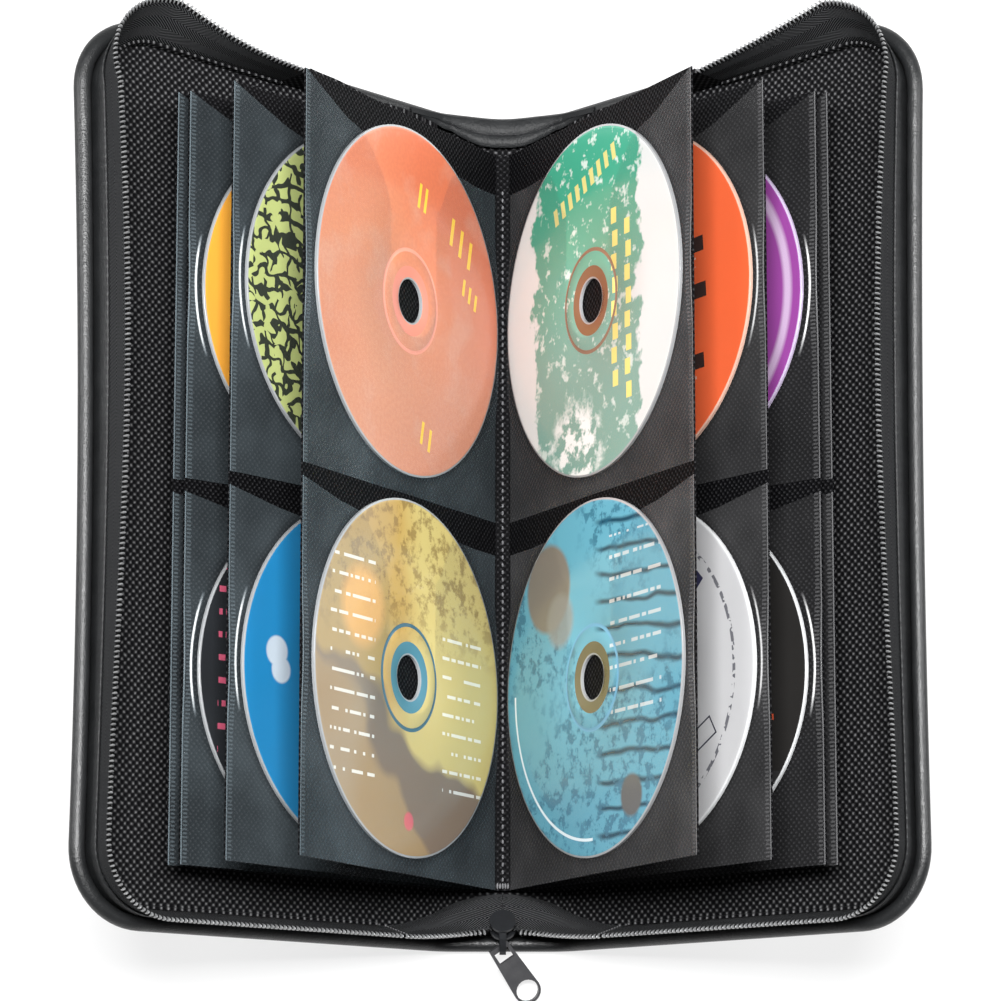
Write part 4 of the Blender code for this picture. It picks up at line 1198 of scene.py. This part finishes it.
def right_1_lower():
    """Sky blue with dark ripples and two grey-brown pebbles."""
    label = Label("sky_label", (0.11, 0.34, 0.45))
    drift = label.mottle(label.place, 16.0, 3.0)
    ripple = abs(((label.y + 0.10 * label.x) / (9.5 * mm) + drift * 1.9).part() - 0.5)
    grain = label.mottle(label.place, 170.0, 3.0, 0.7)
    field = label.x.over(4 * mm, 6 * mm)
    label.lay(ripple.under(0.09, 0.12) * field * 0.95, (0.008, 0.045, 0.08))
    label.lay(grain.over(0.54, 0.1) * drift.over(0.48, 0.1) * 0.7, (0.02, 0.11, 0.18))
    label.lay(label.y.under(-22 * mm, 10 * mm) * grain.over(0.58, 0.06) * 0.6, (0.06, 0.20, 0.30))
    label.lay(label.spot(-30, 34, 15, 2), (0.20, 0.18, 0.15))
    label.lay(label.spot(-22, 22, 9, 3) * 0.8, (0.26, 0.26, 0.24))
    label.lay(label.spot(26, -42, 7, 1.5), (0.12, 0.12, 0.12))
    arc = abs(label.radius - 54 * mm).under(0.5 * mm) * label.x.under(0.0) * label.y.under(0.0)
    label.lay(arc, (0.75, 0.85, 0.9))
    label.lay(label.dashes(12, 46, -20, 46, 7.4, 1.2, 3.3) * 0.6, (0.80, 0.78, 0.76))
    return label.done((0.13, 0.11, 0.06), (0.13, 0.35, 0.52))


def right_2_upper():
    """Orange-red with black bars and thin pale dashes under them."""
    label = Label("orange_red_label", (0.80, 0.125, 0.035))
    label.lay(label.spot(14, 46, 8, 0.6) - label.spot(12, 48, 4, 0.6), (0.04, 0.012, 0.01))
    for y, width in ((14, 30), (-2, 32), (-18, 12), (-26, 30), (-42, 22)):
        label.lay(label.bar(18 + width / 8, y, width, 5.2, 4), (0.035, 0.015, 0.012))
        label.lay(label.dashes(8, 28 + width / 6, y - 7, y - 3.6, 3.4, 1.0, 0.5) * 0.8, (0.80, 0.60, 0.50))
        label.lay(label.bar(16, y, width * 0.7, 1.4, 4) * 0.6, (0.70, 0.60, 0.55))
    return label.done((0.60, 0.14, 0.06), (0.62, 0.14, 0.06), (0.72, 0.45, 0.35))


def right_2_lower():
    """Silver grey with small dark diamonds."""
    label = Label("silver_label", (0.58, 0.58, 0.59))
    for x, y, size in ((32, 30, 4.6), (28, 2, 4.0), (18, 44, 3.0)):
        label.lay(label.bar(x, y, size, size, 45), (0.03, 0.03, 0.08))
    label.lay(label.bar(34, -22, 13, 7, 30) - label.bar(34, -22, 11.8, 5.8, 30), (0.05, 0.05, 0.07))
    label.lay(abs(label.radius - 50 * mm).under(0.7 * mm) * label.x.over(24 * mm)
              * label.mottle(label.place, 420.0, 1.0).over(0.5), (0.16, 0.16, 0.18))
    return label.done((0.45, 0.45, 0.46), (0.40, 0.40, 0.41), (0.75, 0.76, 0.77))


def right_3_upper():
    """Purple with a broad pale arc near its rim."""
    label = Label("purple_label", (0.26, 0.05, 0.27))
    arc = abs(label.radius - 54 * mm).under(1.6 * mm, 1.6 * mm) * label.x.over(30 * mm, 6 * mm)
    label.lay(arc * 0.6, (0.70, 0.60, 0.74))
    return label.done((0.24, 0.08, 0.34), (0.28, 0.10, 0.40), (0.50, 0.42, 0.58))


def right_3_lower():
    """Black with one red and one yellow mark."""
    label = Label("black_label", (0.014, 0.013, 0.012))
    label.lay(label.dashes(30, 46, -17, -12, 4.4, 2.0, 1), (0.55, 0.08, 0.03))
    label.lay(label.bar(40, 46, 3, 1.6, 30), (0.6, 0.45, 0.06))
    label.lay((label.y + 0.2 * label.x).under(-24 * mm) * 0.6, (0.03, 0.03, 0.032))
    return label.done((0.05, 0.05, 0.05), (0.04, 0.04, 0.04), (0.62, 0.63, 0.64))


label_paints = {
    "left": ((left_1_upper, left_1_lower), (left_2_upper, left_2_lower), (left_3_upper, left_3_lower)),
    "right": ((right_1_upper, right_1_lower), (right_2_upper, right_2_lower),
              (right_3_upper, right_3_lower))}
for label, side in sides.items():
    for number, paints in zip(filled_leaves, label_paints[label]):
        name = f"{label}_leaf_{number}"
        joint = leaf_joints[label][number - 1]
        for place, paint, up in zip(("upper", "lower"), paints, (1, -1)):
            disc = disc_object(f"{name}_{place}_printed_disc", side, joint, up * disc_pitch / 2)
            paint().on(disc)
            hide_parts(f"{name}_{place}_disc")
            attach(disc, name)


# Slider and puller. Both are die-cast and painted satin black, worn grey on
# the puller's face. The slider's inner plate is a low round dome; the puller
# hangs from a strap bail.
def metal_paint(name, colour, worn, roughness):
    paint = Paint(name, colour, roughness, Metallic=0.6, Specular_IOR_Level=0.6)
    place = paint.node("ShaderNodeTexCoord").outputs["Object"]
    rub = paint.mottle(place, 260.0, 4.0, 0.6)
    pits = paint.mottle(place, 2600.0, 2.0)
    paint.feed(paint.shader, {
        "Base Color": paint.mix(rub, colour, worn),
        "Roughness": roughness - 0.1 * rub + 0.1 * pits})
    paint.bump(pits, 0.04 * mm)
    return paint


slider_enamel = metal_paint("slider_enamel", (0.012, 0.013, 0.015), (0.030, 0.032, 0.036), 0.42)
puller_enamel = metal_paint("puller_enamel", (0.055, 0.055, 0.060), (0.12, 0.12, 0.125), 0.40)
slider_enamel.on(frame["nodes"]["zip_slider"])
puller_enamel.on(frame["nodes"]["zip_puller"])


# Floor, light and camera. The floor looks white to the camera and in the
# glossy pieces, but throws less light up at the case. One softbox hangs
# overhead and a long one stands on each side; the camera looks almost
# straight down.
floor_size = 6.0
bpy.ops.mesh.primitive_plane_add(size=floor_size, location=(0, 0, 0))
floor = bpy.context.object
floor.name = "floor"
floor_paint = Paint("white_floor", (0.86, 0.86, 0.86), 0.7)
path = floor_paint.node("ShaderNodeLightPath")
glow = floor_paint.node("ShaderNodeEmission", inputs={"Color": (1, 1, 1, 1), "Strength": 1.0})
direct = Value(floor_paint, path.outputs["Is Camera Ray"])
for kind in ("Is Glossy Ray", "Is Transmission Ray"):
    direct = direct.do("MAXIMUM", Value(floor_paint, path.outputs[kind]))
seen = direct * 0.75
floor_paint.feed(floor_paint.shader, {
    "Base Color": floor_paint.mix(direct, (0.30, 0.30, 0.30), (0.86, 0.86, 0.86))})
both = floor_paint.node("ShaderNodeMixShader", inputs={
    0: seen, 1: floor_paint.shader.outputs[0], 2: glow.outputs[0]})
floor_paint.feed(floor_paint.tree.nodes["Material Output"], {"Surface": both.outputs[0]})
floor_paint.on(floor)

world = bpy.data.worlds.new("studio")
bpy.context.scene.world = world
world.use_nodes = True
world.node_tree.nodes["Background"].inputs["Color"].default_value = (1, 1, 1, 1)
world.node_tree.nodes["Background"].inputs["Strength"].default_value = 0.09


def softbox(name, place, aim, width, length, power):
    lamp = bpy.data.lights.new(name, "AREA")
    lamp.shape = "RECTANGLE"
    lamp.size, lamp.size_y = width, length
    lamp.energy = power
    made = bpy.data.objects.new(name, lamp)
    bpy.context.scene.collection.objects.link(made)
    made.location = place
    made.rotation_euler = (Vector(aim) - Vector(place)).to_track_quat("-Z", "Y").to_euler()


softbox("overhead", (0.0, 0.15, 1.8), (0, 0, 0), 0.9, 0.45, 66.0)
softbox("left_side", (-1.2, 0.3, 1.05), (0, 0, 0.05), 0.3, 1.2, 13.0)
softbox("right_side", (1.2, 0.3, 1.05), (0, 0, 0.05), 0.3, 1.2, 15.0)

focal_px, photo_px = 4500.0, 1001.0
camera_tilt = math.radians(10.74)
camera = bpy.data.objects.new("camera", bpy.data.cameras.new("camera"))
bpy.context.scene.collection.objects.link(camera)
camera.location = (-0.00076, -0.2850, 1.5418)
camera.rotation_euler = (camera_tilt, 0.0, 0.0)
camera.data.sensor_width = 36.0
camera.data.lens = 36.0 * focal_px / photo_px
camera.data.clip_end = 20.0
bpy.context.scene.camera = camera
bpy.context.scene.view_settings.view_transform = "Standard"
